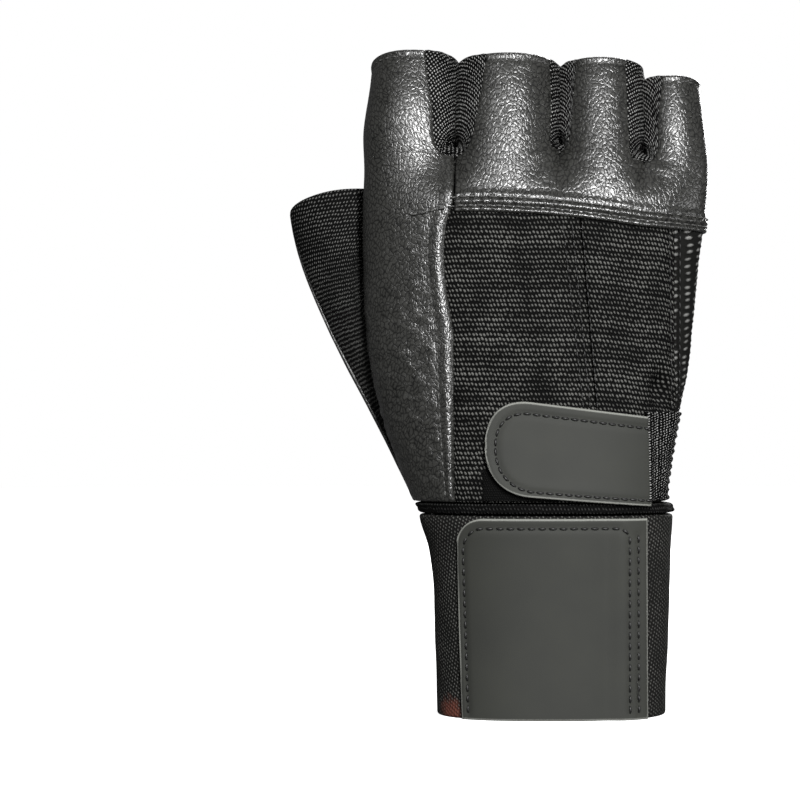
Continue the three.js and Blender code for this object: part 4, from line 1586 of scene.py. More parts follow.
@dataclass
class Gussets(SewnPart):
    """The knit strips between the fingers."""

    saddle: float = 4.5
    tuck: float = 0.05
    rib_pitch: float = 3.6
    bulge: float = 1.3

    def place(self, index: int, along: Array, deep: Array) -> tuple[Array, Array]:
        """Points on a gusset and the ways out of it.

        Args:
            index: Which gusset, 0 between the index and middle fingers.
            along: -1 at one rim, 0 in the valley, 1 at the other rim.
            deep: 0 at the back, 1 at the palm.

        Returns:
            Points and ways.
        """
        shape = along.shape
        base = np.zeros((*shape, 3))
        way = np.zeros((*shape, 3))
        for near in (True, False):
            pick = along < 0 if near else along >= 0
            base[pick], way[pick] = self._side(index, near, np.abs(along[pick]), deep[pick])
        return base, way

    def _side(self, index: int, near: bool, rise: Array, deep: Array) -> tuple[Array, Array]:
        """One side of a gusset."""
        form = self.form
        stall = index if near else index + 1
        rim = form.hand_height(form.fingers[stall].rim)
        back = form.notch(stall, False)[1 if near else 0]
        palm = form.notch(stall, True)[1 if near else 0]
        valley = form.hand_height(lerp(back.valley, palm.valley, deep))
        valley = valley + self.saddle * np.sin(math.pi * deep)
        valley = valley - (2.0 * bell(deep, 0.12) + 4.0 * bell(1 - deep, 0.14)) * bell(rise, 0.1)
        way_up = np.sqrt(rise**2 + 0.006) - math.sqrt(0.006) * (1 - rise)
        height = lerp(valley, rim, way_up)
        gap = 0.02
        back_edge = np.maximum(form.opened(back, height, stall), gap)
        palm_edge = np.maximum(form.opened(palm, height, stall), gap)
        far = math.pi if near else 0.0
        sign = -1 if near else 1
        tuck = 0.02 + self.tuck * smooth(0.05, 0.3, rise)
        start = far + sign * (back_edge + tuck) * math.pi
        end = far - sign * (palm_edge + tuck) * math.pi
        turn = lerp(start, end, deep)
        raised = form.levelled(stall, turn, height) - height
        stalls = np.full(rise.shape, stall)
        point, normal = form.stall_place(stalls, turn, height)
        boundary = index + 1
        around = boundary - back_edge if near else boundary + back_edge
        form_back = form.flat_place(around, height)[0]
        edge_turn = far + sign * back_edge * math.pi
        back_point = form.stall_place(stalls, edge_turn, height)[0]
        around = 8 - (boundary - palm_edge if near else boundary + palm_edge)
        form_palm = form.flat_place(around, height)[0]
        edge_turn = far - sign * palm_edge * math.pi
        palm_point = form.stall_place(stalls, edge_turn, height)[0]
        point = point + (form_back - back_point) * ((1 - deep) ** 2)[:, None]
        point = point + (form_palm - palm_point) * (deep**2)[:, None]
        point[:, 1] += 1.4 * bell(rise, 0.1) * (bell(deep, 0.1) - bell(1 - deep, 0.1))
        folded = bell(rise, 0.16)
        height = height + raised
        base = form.curl(point[:, 0], point[:, 1], height)
        lifted = form.curl(
            point[:, 0] + normal[:, 0] * (1 - folded),
            point[:, 1] + normal[:, 1] * (1 - folded),
            height + folded,
        )
        return base, unit(lifted - base)

    def build(self) -> None:
        """Builds the three gussets."""
        for index, name in enumerate(("index_middle", "middle_ring", "ring_little")):
            along = np.unique(np.concatenate([np.linspace(-1, 1, 91), np.array([-0.02, 0.02])]))
            deep = edge_steps(30, 22.0)
            place = lambda a, d, index=index: self.place(index, a, d)
            sheet = grid_sheet(along[:, None], deep, place)
            ribs = np.cos(sheet.weave[:, 0] * math.tau / self.rib_pitch)
            crease = bell(sheet.around, 0.025)
            d = sheet.height
            under = 1 - smooth(0.0, 0.13, d) + smooth(0.87, 1.0, d)
            top = -0.2 + 0.12 * ribs - 0.2 * crease + 0.15 * noise_at(sheet.base, 3.0, 11.0)
            top = top + self.bulge * np.sin(math.pi * d) * (1 - crease)
            top -= 1.25 * under * smooth(0.05, 0.3, np.abs(sheet.around)) + 0.3 * crease
            data = thicken(sheet, top, top - self.knit)
            make_piece(f"gusset_{name}", data, self.finishes.gusset, f"fourchette_{name}")


@dataclass
class KnitBack(SewnPart):
    """The ribbed knit back in its three sewn strips."""

    sink: float = 0.5
    band: tuple[float, float] = (0.081, 0.15)
    rim: tuple[float, float] = (0.352, 0.36)
    band_lines: tuple[float, ...] = (-5.2, -2.6, 0.3)
    rim_lines: tuple[float, ...] = (-1.6, 1.6)
    gather_at: tuple[float, float] = (31.1, 93.9)
    gather_depth: float = 5.0
    rib_pitch: float = 1.8
    stitch: Stitch = Stitch(2.4, 1.9, 0.22)

    def line(self, ends: tuple[float, float], height: Array) -> Array:
        """Place around of a sewn line down the back."""
        hem = float(self.form.hem(2.0))
        share = np.clip((hem - height) / (hem - self.hand_bottom), 0, 1)
        return self.form.around_at(lerp(ends[0], ends[1], share) * self.form.palm_breadth, height)

    def gather(self, points: Array) -> Array:
        """The pinched gather by the closure's root."""
        middle, _ = self.on_back(*self.gather_at)
        away = points - middle
        oval = np.sqrt((away[:, 0] / 2.4) ** 2 + (away[:, 2] / 4.6) ** 2 + (away[:, 1] / 5.0) ** 2)
        fold = bell(away[:, 0] - 4.0 + away[:, 2] * 0.25, 1.3) * bell(away[:, 2], 6.0)
        return -self.gather_depth * bell(oval, 1.0) + 0.9 * fold * bell(away[:, 1], 8.0)

    def build(self) -> None:
        """Builds the three strips and the stitches between them."""
        form = self.form
        top_height = (form.hem(1.0) + form.hem(4.0)) / 2
        strips = (
            ("back_knit_inner", self.knit_left, lambda z: self.line(self.band, z), 44),
            ("back_knit_outer", lambda z: self.line(self.band, z), lambda z: self.line(self.rim, z), 40),
            (
                "back_knit_edge",
                lambda z: self.line(self.rim, z),
                lambda z: np.full_like(z, 4 + self.side_line),
                26,
            ),
        )
        for name, start, stop, count in strips:
            columns = edge_steps(count, 30.0)
            height_middle = np.full(len(columns), float(top_height))
            top = form.hem(lerp(start(height_middle), stop(height_middle), columns)) + 1.2
            rows = edge_steps(110, 80.0)
            height = lerp(self.hand_bottom, top[:, None], rows[None, :])
            tuck = 0.05 if name == "back_knit_inner" else -self.around_gap * 0.25
            left = start(height) - tuck
            right = stop(height) - self.around_gap * 0.25
            around = lerp(left, right, columns[:, None])
            sheet = self.lay(around, height)
            across = np.repeat(columns, len(rows))
            lift = -self.sink + 0.35 * np.sin(math.pi * across) ** 0.5 * np.ones(len(sheet.base))
            lift += 0.2 * noise_at(sheet.base * np.array([0.4, 0.4, 1.0]), 7.0, 21.0)
            for line, _ in self.sewn_lines():
                lift += Groove(line, 0.6, 0.6, 0.12, 2.4, 1.0).lift(sheet.base)
            lift += self.gather(sheet.base)
            if name == "back_knit_inner":
                lift -= 1.0 * (1 - smooth(0.0, 0.07, across))
            stock = self.finishes.back_knit
            if name == "back_knit_edge":
                lift += 0.12 * np.cos(sheet.height * math.tau / self.rib_pitch)
                stock = self.finishes.edge_knit
            data = thicken(sheet, lift, lift - self.knit, 0.3)
            make_piece(f"{name}_strip", data, stock, name)
        self._stitches()

    def sewn_lines(self) -> list[tuple[Array, Array]]:
        """The vertical sewn lines, with the ways off the form."""
        lines = []
        low = self.hand_bottom + 24
        hem = self.form.hem(2.0)
        for ends, shifts in ((self.band, self.band_lines), (self.rim, self.rim_lines)):
            heights = np.linspace(low, float(self.form.hem(2.5)) - 0.5, 60)
            share = np.clip((hem - heights) / (hem - self.hand_bottom), 0, 1)
            across = lerp(ends[0], ends[1], share) * self.form.palm_breadth
            for shift in shifts:
                lines.append(self.on_back(across + shift * (1 - 0.4 * share), heights))
        return lines

    def _stitches(self) -> None:
        """Sews the vertical lines down the knit."""
        sink = 0.15 - self.sink
        rows = [stitch_row(path + way * sink, way, self.stitch) for path, way in self.sewn_lines()]
        make_piece("knit_stitches", merge(rows), self.finishes.sewn_on("black_knit"))


@dataclass
class Closure(SewnPart):
    """The small tab on the back of the hand, its loop patch and its root."""

    length: float = 45.7
    tab_height: float = 27.5
    right: float = 27.1
    middle: float = 77.7
    slope_top: float = -0.127
    slope_bottom: float = -0.081
    thickness: float = 1.5
    lift: float = 1.3
    low: float = -0.2
    free_rise: float = 0.5
    line_tip: float = 2.9
    patch_top: float = 70.5
    patch_inset: float = 3.5
    line_insets: tuple[float, float] = (3.4, 1.6)
    stitch: Stitch = Stitch(2.7, 2.2, 0.36)

    def edge(self, across: Array | float, direction: int, inset: float = 0.0, tip: float = 0.0) -> Array:
        """Height of the tab's upper or lower edge.

        Args:
            across: Distances across.
            direction: 1 for the upper edge, -1 for the lower.
            inset: How far in from the edge to stay.
            tip: How far in from the free end to stay.

        Returns:
            The heights.
        """
        from_end = across - (self.right - self.length)
        half = self.tab_height / 2 - inset
        t = np.clip(1 - (from_end - tip) / (half * 0.95), 0, 0.9995)
        reach = half * (1 - t**2.3) ** (1 / 2.3)
        slope = self.slope_top if direction > 0 else self.slope_bottom
        return self.middle + direction * reach + slope * from_end

    def across(self, u: Array | float) -> Array:
        """Distance across of a share of the tab's length."""
        return lerp(self.right - self.length, self.right, u)

    def _freedom(self, across: Array) -> Array:
        """How far the tab stands off at its free end, from 1 down to 0."""
        return 1 - smooth(0.0, 0.35, (across - self.across(0.0)) / self.length)

    def outline(self) -> Array:
        """The stitch line inside the tab's edge, as (across, height) rows."""
        tip = self.line_tip
        t = (0.5 - 0.5 * np.cos(np.linspace(0, math.pi, 80))) ** 1.6
        across = lerp(self.right - self.length + tip, self.right, t)
        upper = np.stack([across, self.edge(across, 1, self.line_insets[0], tip)], -1)[::-1]
        lower = np.stack([across, self.edge(across, -1, self.line_insets[1], tip)], -1)[1:]
        return np.concatenate([upper, lower])

    def build(self) -> None:
        """Builds the closure."""
        form = self.form
        bend = 0.5 - 0.5 * np.cos(np.linspace(0, math.pi / 2, 18))
        columns = np.concatenate([bend / bend[-1] * 0.3, np.linspace(0.3, 1.0, 40)[1:]])
        rows = edge_steps(30, 26.0)
        across = self.across(columns)
        height = lerp(self.edge(across, -1)[:, None], self.edge(across, 1)[:, None], rows[None, :])
        around = form.around_at(across[:, None], height)
        sheet = self.lay(around, height)
        flat = np.stack([np.broadcast_to(across[:, None], height.shape), height], -1).reshape(-1, 2)
        sheet.weave[:] = flat
        line = self.outline()
        base, way = self.on_back(line[:, 0], line[:, 1])
        under = self.lift + self.free_rise * self._freedom(flat[:, 0])
        top = under + self.thickness + Groove(base, 0.75, 0.5).lift(sheet.base)
        data = thicken(sheet, top, under, 0.5, lining=1)
        make_piece("closure_tab_dressed", data, self.finishes.tab, "closure_tab")
        rise = self.lift + self.thickness - 0.16 + self.free_rise * self._freedom(line[:, 0])
        stitches = stitch_row(base + way * rise[:, None], way, self.stitch)
        make_piece("closure_tab_stitches", stitches, self.finishes.sewn_on("grey_tab"))
        self._patch()
        self._root()

    def _patch(self) -> None:
        """Builds the loop patch under the tab."""
        form = self.form
        columns, rows = edge_steps(30, 23.0), edge_steps(24, 22.0)
        start, stop = self.across(0.0) - 1, self.across(0.42)
        full = float(self.edge(self.across(0.4), 1)) - self.patch_inset
        top = lerp(self.patch_top, full, smooth(0.2, 0.55, columns))
        height = lerp(self.hand_bottom + self.seam, top[:, None], rows[None, :])
        around = form.around_at(lerp(start, stop, columns)[:, None], height)
        sheet = self.lay(around, height)
        fuzz = 0.12 * noise_at(sheet.base, 0.9, 31.0)
        data = thicken(sheet, self.low + 0.6 + fuzz, np.full(len(fuzz), self.low), 0.5)
        make_piece("closure_loop_fabric", data, self.finishes.loop, "closure_loop_patch")

    def _root(self) -> None:
        """Builds the coarse knit that holds the tab's sewn end."""
        form = self.form
        columns, rows = edge_steps(24, 14.0), edge_steps(34, 24.0)
        bottom = self.hand_bottom + self.seam
        top = float(self.edge(self.right, 1)) + 1.5
        height = lerp(bottom, top, rows)
        left = form.around_at(self.right - 1.2, height)
        around = lerp(left, 3.98, columns[:, None])
        sheet = self.lay(around, height)
        u = np.repeat(columns, len(rows))
        near = 1 - smooth(0.0, 0.2, u)
        top_lift = self.low + lerp(1.8, 0.7, u) + near * 1.7
        top_lift += 0.22 * np.cos(sheet.height * math.tau / 2.2 + 4 * u) * (0.4 + u)
        top_lift += 0.25 * noise_at(sheet.base, 2.2, 41.0)
        data = thicken(sheet, top_lift, np.full(len(u), self.low))
        make_piece("closure_root_dressed", data, self.finishes.gusset, "closure_root_knit")


@dataclass
class PalmLeather(SewnPart):
    """The leather over the palm, its quilted pad and its heel."""

    pad_inner: float = -0.133
    pad_bottom: float = 0.185
    puff: float = 1.7
    quilt: tuple[tuple[tuple[float, float], ...], ...] = (
        ((-5.0, 141.0), (15.8, 115.4), (35.3, 89.8)),
        ((33.2, 130.3), (16.6, 117.5), (-7.1, 89.8)),
    )
    border_lines: tuple[float, float] = (-1.8, 1.9)
    stitch: Stitch = Stitch(2.8, 2.0, 0.24)

    def _strip(self, index: int) -> Sheet:
        """One finger's share of the leather on the palm side."""
        form = self.form
        radial, ulnar = form.notch(index, True)
        rim = form.hand_height(form.fingers[index].rim)
        valley = form.hand_height(form.palm_notch.valley)
        close = np.array([0.0, 0.02, 0.08, 0.2, 0.45, 0.8])
        upper = np.unique(np.concatenate([valley + close, np.arange(valley + 0.8, rim, 0.9), rim - close]))
        columns = edge_steps(26, 26.0)

        def span(height: Array) -> tuple[Array, Array]:
            start = 8 - (index + 1) + form.opened(ulnar, height, index)
            stop = 8 - index - form.opened(radial, height, index)
            if index == 3:
                start = np.full_like(height, 4 + self.side_line + self.around_gap)
            if index == 0:
                stop = np.full_like(height, 8 - self.side_line - self.around_gap)
            return start, stop

        def low(around: Array) -> Array:
            return self.pad_top(around) + self.seam

        return self.lay_stall(index, columns, upper, valley, edge_steps(24, 16.0), span, low)

    def build_fingers(self) -> None:
        """Builds the leather under the fingers."""
        sheet = join_sheets([self._strip(index) for index in (3, 2, 1, 0)])
        weave = sheet.base[:, ::2].copy()
        lift = wrinkles(weave, 7.0, (1.2, 1.0))
        above = sheet.height - self.pad_top(sheet.around)
        lift += 0.5 * bell(above - 2.2, 1.2) - 0.3 * bell(above - 3.6, 0.6)
        data = thicken(sheet, lift, lift - self.leather, lining=1)
        data.weave[: len(weave)] = weave
        make_piece("finger_palm", data, self.finishes.palm_leather, "finger_palm_leather")

    def quilting(self) -> list[Array]:
        """The pad's two crossing sewn lines."""
        lines = []
        t = np.linspace(0, 2, 60)
        for rows in self.quilt:
            across = np.interp(t, (0, 1, 2), [row[0] for row in rows])
            height = np.interp(t, (0, 1, 2), [row[1] for row in rows])
            lines.append(self.form.frame(self.form.palm_around_at(across, height), height)[0])
        return lines

    def build_pad(self) -> None:
        """Builds the quilted pad."""
        form = self.form
        columns, rows = edge_steps(64, 60.0), edge_steps(70, 60.0)
        low = form.hand_height(self.pad_bottom) + self.seam
        start = 4 + self.side_line + self.around_gap
        top = self.pad_top(lerp(4 + self.side_line, 6.6, columns))
        height = lerp(low, top[:, None], rows[None, :])
        stop = form.palm_around_at(self.pad_inner * form.palm_breadth, height) - self.around_gap
        around = lerp(start, stop, columns[:, None])
        sheet = self.lay(around, height)
        seams = [sheet.base[sheet.border()], *self.quilting()]
        away = np.min([nearest(sheet.base, seam)[1] for seam in seams], axis=0)
        lift = self.puff * (1 - np.exp(-away / 4.5)) * 1.1
        lift += wrinkles(sheet.weave, 9.0) * (1 - bell(away, 2.0))
        for line in self.quilting():
            lift += Groove(line, 0.9, 0.35, 0.16, 2.8, 2.4).lift(sheet.base)
        data = thicken(sheet, lift, np.full(len(lift), -self.leather), lining=1)
        pad = make_piece("palm_pad_quilted", data, self.finishes.palm_leather, "palm_pad")

    def build_heel(self) -> None:
        """Builds the leather at the heel of the hand."""
        form = self.form
        columns, rows = edge_steps(70, 66.0), edge_steps(24, 20.0)
        height = lerp(self.hand_bottom, form.hand_height(self.pad_bottom) - self.seam, rows)
        thumb = ThumbForm(form)
        seam = SmoothTable((0.0, 0.045, 0.06, *thumb.seam_at[2:5]), (-0.42, *thumb.seam_across[:5]))
        across = seam.at((height - form.wrist_seam) / form.hand_length) * form.palm_breadth
        stop = form.palm_around_at(across, height) - self.around_gap * 2
        stop = np.minimum(stop, 8 - self.side_line - self.around_gap)
        around = lerp(4 + self.side_line + self.around_gap, stop, columns[:, None])
        sheet = self.lay(around, height)
        self.make_palm("palm_heel", sheet, wrinkles(sheet.weave, 13.0), "heel_leather")

    def build_radial(self) -> None:
        """Builds the smooth leather between the pad and the thumb."""
        form = self.form
        thumb = ThumbForm(form)
        columns, rows = edge_steps(44, 45.0), edge_steps(60, 50.0)
        breadth = form.palm_breadth
        side = 8 - self.side_line - self.around_gap
        bottom = form.hand_height(self.pad_bottom) + self.seam
        across = lerp(self.pad_inner * breadth - 0.35, (form.hand_reach[0][6] + 0.012) * breadth, columns)
        upper = SmoothTable(thumb.seam_across[4:][::-1], thumb.seam_at[4:][::-1])
        seam = form.hand_height(upper.at(across / breadth))
        side_top = form.hand_height(thumb.side_top)
        blend = smooth(0.0, 1.0, (-0.38 * breadth - across) / (0.17 * breadth))
        seam = np.where(across > -0.166 * breadth, bottom, lerp(seam, side_top, blend))
        low = np.maximum(seam, bottom - self.seam) + self.seam
        start = np.minimum(form.palm_around_at(across, low), side)
        height = lerp(low[:, None], self.pad_top(start)[:, None], rows[None, :])
        around = np.minimum(form.palm_around_at(across[:, None], height), side)
        sheet = self.lay(around, height)
        self.make_palm("palm_radial_panel", sheet, wrinkles(sheet.weave, 15.0) * 1.1, "palm_panel")

    def build_stitches(self) -> None:
        """Sews the pad's quilting and its double border."""
        form = self.form
        rows = []
        for line in self.quilting():
            way = np.broadcast_to(form.frame(6.0, 110.0)[1], line.shape)
            rows.append(stitch_row(line + way * 0.75, way, self.stitch))
        for rise in self.border_lines:
            around = np.linspace(4 + self.side_line + 0.05, 7.7, 100)
            path, way = self.path(around, self.pad_top(around) + rise, 0.25)
            rows.append(stitch_row(path, way, self.stitch))
        make_piece("palm_stitches", merge(rows), self.finishes.sewn_on("black_leather"))

    def build(self) -> None:
        """Builds the palm."""
        self.build_fingers()
        self.build_radial()
        self.build_pad()
        self.build_heel()
        self.build_stitches()


@dataclass
class Thumb(SewnPart):
    """The thumb: leather on its palm side, knit on its back, and a patch at its crotch."""

    turn_gap: float = 0.004
    crotch_gap: float = 0.026
    joint: float = 0.478
    gore_turn: float = 0.9
    gore_width: tuple[float, float] = (0.055, 0.012)
    gore_reach: tuple[float, float] = (0.08, 0.36)
    gore_lift: float = 2.3

    def _sheet(self, start: float, stop: float, count: int) -> Sheet:
        """Lays a sheet on the thumb from one turn to another."""
        thumb = ThumbForm(self.form)
        turn = lerp(start, stop, edge_steps(count, 40.0))
        return grid_sheet(turn[:, None], edge_steps(56, 60.0), thumb.frame, flip=True)

    def build(self) -> None:
        """Builds the thumb."""
        thumb = ThumbForm(self.form)
        sheet = self._sheet(self.joint + self.turn_gap, 1 - 2 * self.turn_gap, 66)
        lift = 1.2 + wrinkles(sheet.weave, 17.0) * 1.1
        self.make_palm("thumb_palm_dressed", sheet, lift, "thumb_palm_leather")
        sheet = self._sheet(self.crotch_gap, self.joint - self.turn_gap, 44)
        sheet.weave[:, 1] = sheet.base[:, 2] + 0.12 * sheet.weave[:, 0]
        from_rim = (1 - sheet.height) * 60.0
        lift = 1.1 + 0.25 * noise_at(sheet.base, 8.0, 19.0) + 0.35 * bell(from_rim - 1.6, 1.2)
        data = thicken(sheet, lift, lift - self.knit)
        make_piece("thumb_back_dressed", data, self.finishes.thumb_knit, "thumb_back_knit")
        columns, rows = edge_steps(14, 10.0), edge_steps(20, 18.0)
        wide = lerp(*self.gore_width, rows)
        turn = self.gore_turn + lerp(-1.0, 1.0, columns)[:, None] * wide
        sheet = grid_sheet(turn, lerp(*self.gore_reach, rows), thumb.frame, flip=True)
        self.make_palm("thumb_gore_dressed", sheet, np.full(len(sheet.base), self.gore_lift), "thumb_gore")


@dataclass
class WristWrap(SewnPart):
    """The bound wrist seam, the elastic wrap and its end tab."""

    tab_width: float = 51.4
    tab_height: float = 57.0
    tab_corner: float = 7.0
    wrap_end: float = 21.0
    tab_right: float = 25.0
    wrap_start: float = 7.35
    thickness: float = 1.5
    tab_taper: float = 1.6
    line_top: float = 54.2
    stray_thread: tuple[tuple[float, float], ...] = ((22.0, 11.2), (22.5, 9.3), (22.1, 7.2), (22.4, 5.4))
    stitch: Stitch = Stitch(3.0, 2.2, 0.36)
    stray: Stitch = Stitch(6.0, 5.6, 0.14)

    def build_binding(self) -> None:
        """Builds the bound seam between the hand and the wrap."""
        turns = np.arange(0, 8, 8 / 320)
        rows = np.linspace(0, 1, 22) * (self.binding_height - self.seam)
        sheet = self.lay(turns[:, None], self.form.wrist_seam + self.seam / 2 + rows, ring=True)
        v = (sheet.height - self.form.wrist_seam) / self.binding_height
        lift = 0.25 * np.sin(math.pi * v) + 0.25 * np.abs(np.sin(v * math.pi * 2.0)) - 0.2
        lift += 0.1 * noise_at(sheet.base, 2.0, 23.0) + 0.9 * bell(sheet.around - 4.0, 0.12)
        data = thicken(sheet, lift, np.full(len(lift), -self.leather))
        make_piece("wrist_seam_binding", data, self.finishes.binding, "wrist_binding")

    def build_band(self) -> None:
        """Builds the elastic band and its second turn."""
        top = self.form.wrist_seam - self.seam
        turns = np.arange(0, 8, 8 / 240)
        rows = edge_steps(60, top)
        height = rows * top
        sheet = self.lay(turns[:, None], height, ring=True)
        lift = 0.15 * noise_at(sheet.base, 9.0, 27.0)
        data = thicken(sheet, lift, lift - self.elastic)
        make_piece("wrap_inner_turn", data, self.finishes.elastic, "wrap_band")
        columns = edge_steps(150, 110.0)
        end = self.form.around_at(self.wrap_end, height)
        around = lerp(end, self.wrap_start, columns[:, None])
        sheet = self.lay(around, height)
        lift = self.seam + self.elastic + 0.15 * noise_at(sheet.base, 9.0, 27.0)
        data = thicken(sheet, lift, lift - self.elastic)
        make_piece("wrap_outer_turn", data, self.finishes.elastic, "wrap_overlap")

    def tab_edge(self, from_left: Array) -> Array:
        """Height of the tab's top edge, which is round at its free end."""
        t = np.clip(1 - from_left / self.tab_corner, 0, 1)
        return self.tab_height - self.tab_corner * (1 - np.sqrt(1 - t**2))

    def tab_lift(self, across: Array) -> Array:
        """Lift of the tab's underside."""
        step = smooth(self.wrap_end - 7, self.wrap_end - 0.5, across)
        return self.seam + step * (self.elastic + self.seam)

    def build_tab(self) -> None:
        """Builds the end tab and its stitches."""
        form = self.form
        corner = (1 - np.cos(np.linspace(0, math.pi / 2, 14))) * self.tab_corner / self.tab_width
        columns = np.concatenate([corner, np.linspace(corner[-1], 1, 60)[1:]])
        columns = np.unique(np.concatenate([columns, 1 - np.array([0, 0.05, 0.2, 0.45]) / 55]))
        rows = edge_steps(60, 56.0)
        top = self.tab_edge(columns * self.tab_width)
        height = rows[None, :] * top[:, None]
        taper = self.tab_taper * (1 - height / self.tab_height)
        across = self.tab_right - self.tab_width + taper + columns[:, None] * (self.tab_width - taper)
        around = form.around_at(across, height)
        sheet = self.lay(around, height)
        flat = np.stack([across, height], -1).reshape(-1, 2)
        sheet.weave[:] = flat
        under = self.tab_lift(flat[:, 0])
        lift = under + self.thickness + 0.06 * noise_at(sheet.base, 16.0, 33.0)
        for line in self.tab_lines():
            base, _ = self.on_back(line[:, 0], line[:, 1])
            lift += Groove(base, 0.65, 0.4).lift(sheet.base)
        data = thicken(sheet, lift, under, 0.5, lining=1)
        make_piece("wrap_tab_dressed", data, self.finishes.tab, "wrap_tab")
        threads = []
        for line in self.tab_lines():
            base, way = self.on_back(line[:, 0], line[:, 1])
            path = base + way * (self.tab_lift(line[:, 0]) + self.thickness - 0.1)[:, None]
            threads.append(stitch_row(path, way, self.stitch))
        across, height = np.array(self.stray_thread).T
        base, way = self.on_back(across, height)
        path = base + way * (self.tab_lift(across) + self.thickness + 0.15)[:, None]
        threads.append(stitch_row(path, way, self.stray))
        make_piece("wrap_tab_stitches", merge(threads), self.finishes.sewn_on("grey_tab"))

    def tab_lines(self) -> list[Array]:
        """The tab's stitch lines, as (across, height) rows."""
        left = self.tab_right - self.tab_width + 2.0
        top = self.line_top
        right = self.tab_right - 4.6
        bend = np.linspace(0, math.pi / 2, 12)
        first = np.stack([left + 5 - 5 * np.cos(bend), top - 6 + 6 * np.sin(bend)], -1)
        last = np.stack([right - 3 + 3 * np.sin(bend), top - 3 + 3 * np.cos(bend)], -1)
        outer = np.concatenate([[[left + 1.5, 1.5]], first, last, [[right, 1.5]]])
        second = np.array([[self.tab_right - 2.4, top - 1.5], [self.tab_right - 2.4, 1.5]])
        return [self._even(outer), self._even(second)]

    def _even(self, line: Array) -> Array:
        """The same line with points half a millimetre apart."""
        padded = np.concatenate([line, np.zeros((len(line), 1))], -1)
        rows, _ = resample(padded, 0.5)
        return read_rows(line, rows)

    def build(self) -> None:
        """Builds the wrist."""
        self.build_binding()
        self.build_band()
        self.build_tab()


# The studio


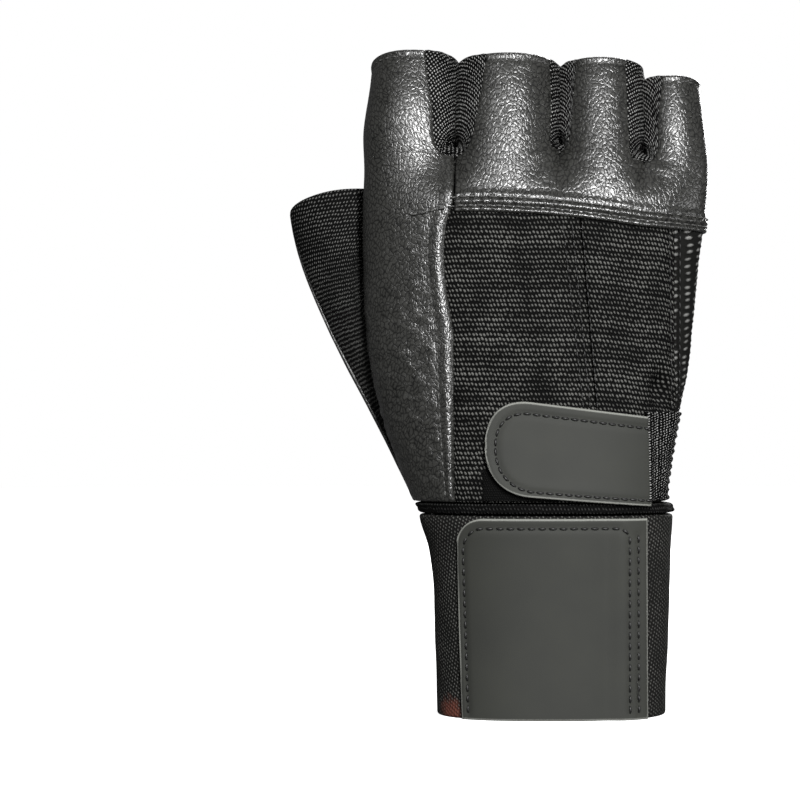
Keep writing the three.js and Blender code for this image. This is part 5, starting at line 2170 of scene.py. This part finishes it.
@dataclass
class Studio:
    """A pale floor, soft lights and the camera."""

    distance: float = 0.75
    stand: tuple[float, float] = (0.0, 0.085)
    middle: tuple[float, float] = (-0.0441, 0.0906)
    view_width: float = 0.232
    sensor: float = 36.0

    def build(self) -> None:
        """Builds the studio."""
        self._floor()
        self._world()
        key = ("key_strip", (0.15, -0.8, 0.4), (0.1, 0.5), 13.0)
        front = ("front_softbox", (-0.35, -0.95, 0.7), (0.45, 0.45), 2.4)
        side = ("side_softbox", (0.9, -0.25, 0.1), (0.4, 0.4), 2.2)
        back = ("top_softbox", (0.0, 0.3, 0.9), (0.6, 0.6), 1.0)
        palm = ("palm_softbox", (0.25, 0.95, 0.5), (0.4, 0.6), 9.0)
        for name, place, size, watts in (key, front, side, back, palm):
            self._light(name, place, size, watts)
        self._camera()

    def _floor(self) -> None:
        """Adds a matt white floor."""
        mesh = bpy.data.meshes.new("studio_floor")
        turns = np.arange(64) * math.tau / 64
        verts = [(2.5 * math.cos(t), 2.5 * math.sin(t), 0.0) for t in turns]
        mesh.from_pydata(verts, [], [list(range(64))])
        floor = bpy.data.objects.new("studio_floor", mesh)
        bpy.context.scene.collection.objects.link(floor)
        material, shader = start_material("matt_white_paper")
        place = add_node(material, "TexCoord", output="Object")
        tooth = add_node(material, "TexNoise", {"Vector": place, "Scale": 900.0, "Detail": 2.0})
        stops = ((0.3, "#f4f4f4"), (0.7, "#fafafa"))
        away = add_node(material, "VectorMath", {0: place}, "Value", operation="LENGTH")
        glow = {"Value": away, "From Min": 0.06, "From Max": 0.3, "To Min": 0.8, "To Max": 1.02}
        finish = {
            "Base Color": add_node(material, "ValToRGB", {"Fac": tooth}, stops=stops),
            "Roughness": 0.95,
            "Specular IOR Level": 0.1,
            "Emission Color": linear("#ffffff"),
            "Emission Strength": add_node(material, "MapRange", glow),
        }
        set_inputs(shader, finish)
        mesh.materials.append(material)
        floor.visible_diffuse = False
        floor.visible_glossy = False

    def _world(self) -> None:
        """Sets a white background that lights the glove softly."""
        world = bpy.data.worlds.new("white_studio")
        bpy.context.scene.world = world
        world.use_nodes = True
        world.node_tree.nodes.clear()
        seen = add_node(world, "LightPath", output="Is Camera Ray")
        white = linear("#ffffff")
        soft = add_node(world, "Background", {"Color": white, "Strength": 0.1})
        bright = add_node(world, "Background", {"Color": white, "Strength": 1.0})
        mix = add_node(world, "MixShader", {0: seen, 1: soft, 2: bright})
        output = world.node_tree.nodes.new("ShaderNodeOutputWorld")
        set_inputs(output, {"Surface": mix})

    def _light(
        self, name: str, place: tuple[float, float, float], size: tuple[float, float], watts: float
    ) -> None:
        """Adds a softbox that looks at the glove."""
        lamp = bpy.data.lights.new(name, "AREA")
        lamp.shape = "RECTANGLE"
        lamp.size, lamp.size_y = size
        lamp.energy = watts
        light = bpy.data.objects.new(name, lamp)
        light.location = place
        aim = Vector((0.0, 0.0, 0.1)) - Vector(place)
        light.rotation_euler = aim.to_track_quat("-Z", "Y").to_euler()
        bpy.context.scene.collection.objects.link(light)

    def _camera(self) -> None:
        """Adds the camera, level and square to the back of the hand."""
        data = bpy.data.cameras.new("camera")
        data.sensor_width = self.sensor
        data.lens = self.sensor * self.distance / self.view_width
        data.clip_start = 0.01
        camera = bpy.data.objects.new("camera", data)
        camera.location = (self.stand[0], -self.distance, self.stand[1])
        data.shift_x = (self.middle[0] - self.stand[0]) / self.view_width
        data.shift_y = (self.middle[1] - self.stand[1]) / self.view_width
        camera.rotation_euler = (math.pi / 2, 0.0, 0.0)
        bpy.context.scene.collection.objects.link(camera)
        bpy.context.scene.camera = camera
        bpy.context.scene.view_settings.view_transform = "Standard"


def main() -> None:
    """Builds the glove in its studio."""
    logging.basicConfig(level=logging.INFO, format="%(name)s %(message)s")
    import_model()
    form = HandForm()
    finishes = make_finishes()
    Studio().build()
    for part in (
        BackLeather(form, finishes),
        Gussets(form, finishes),
        KnitBack(form, finishes),
        Closure(form, finishes),
        PalmLeather(form, finishes),
        Thumb(form, finishes),
        WristWrap(form, finishes),
    ):
        part.build()
        log.info("built %s", type(part).__name__)
    bpy.context.view_layer.update()


if __name__ == "__main__":
    main()
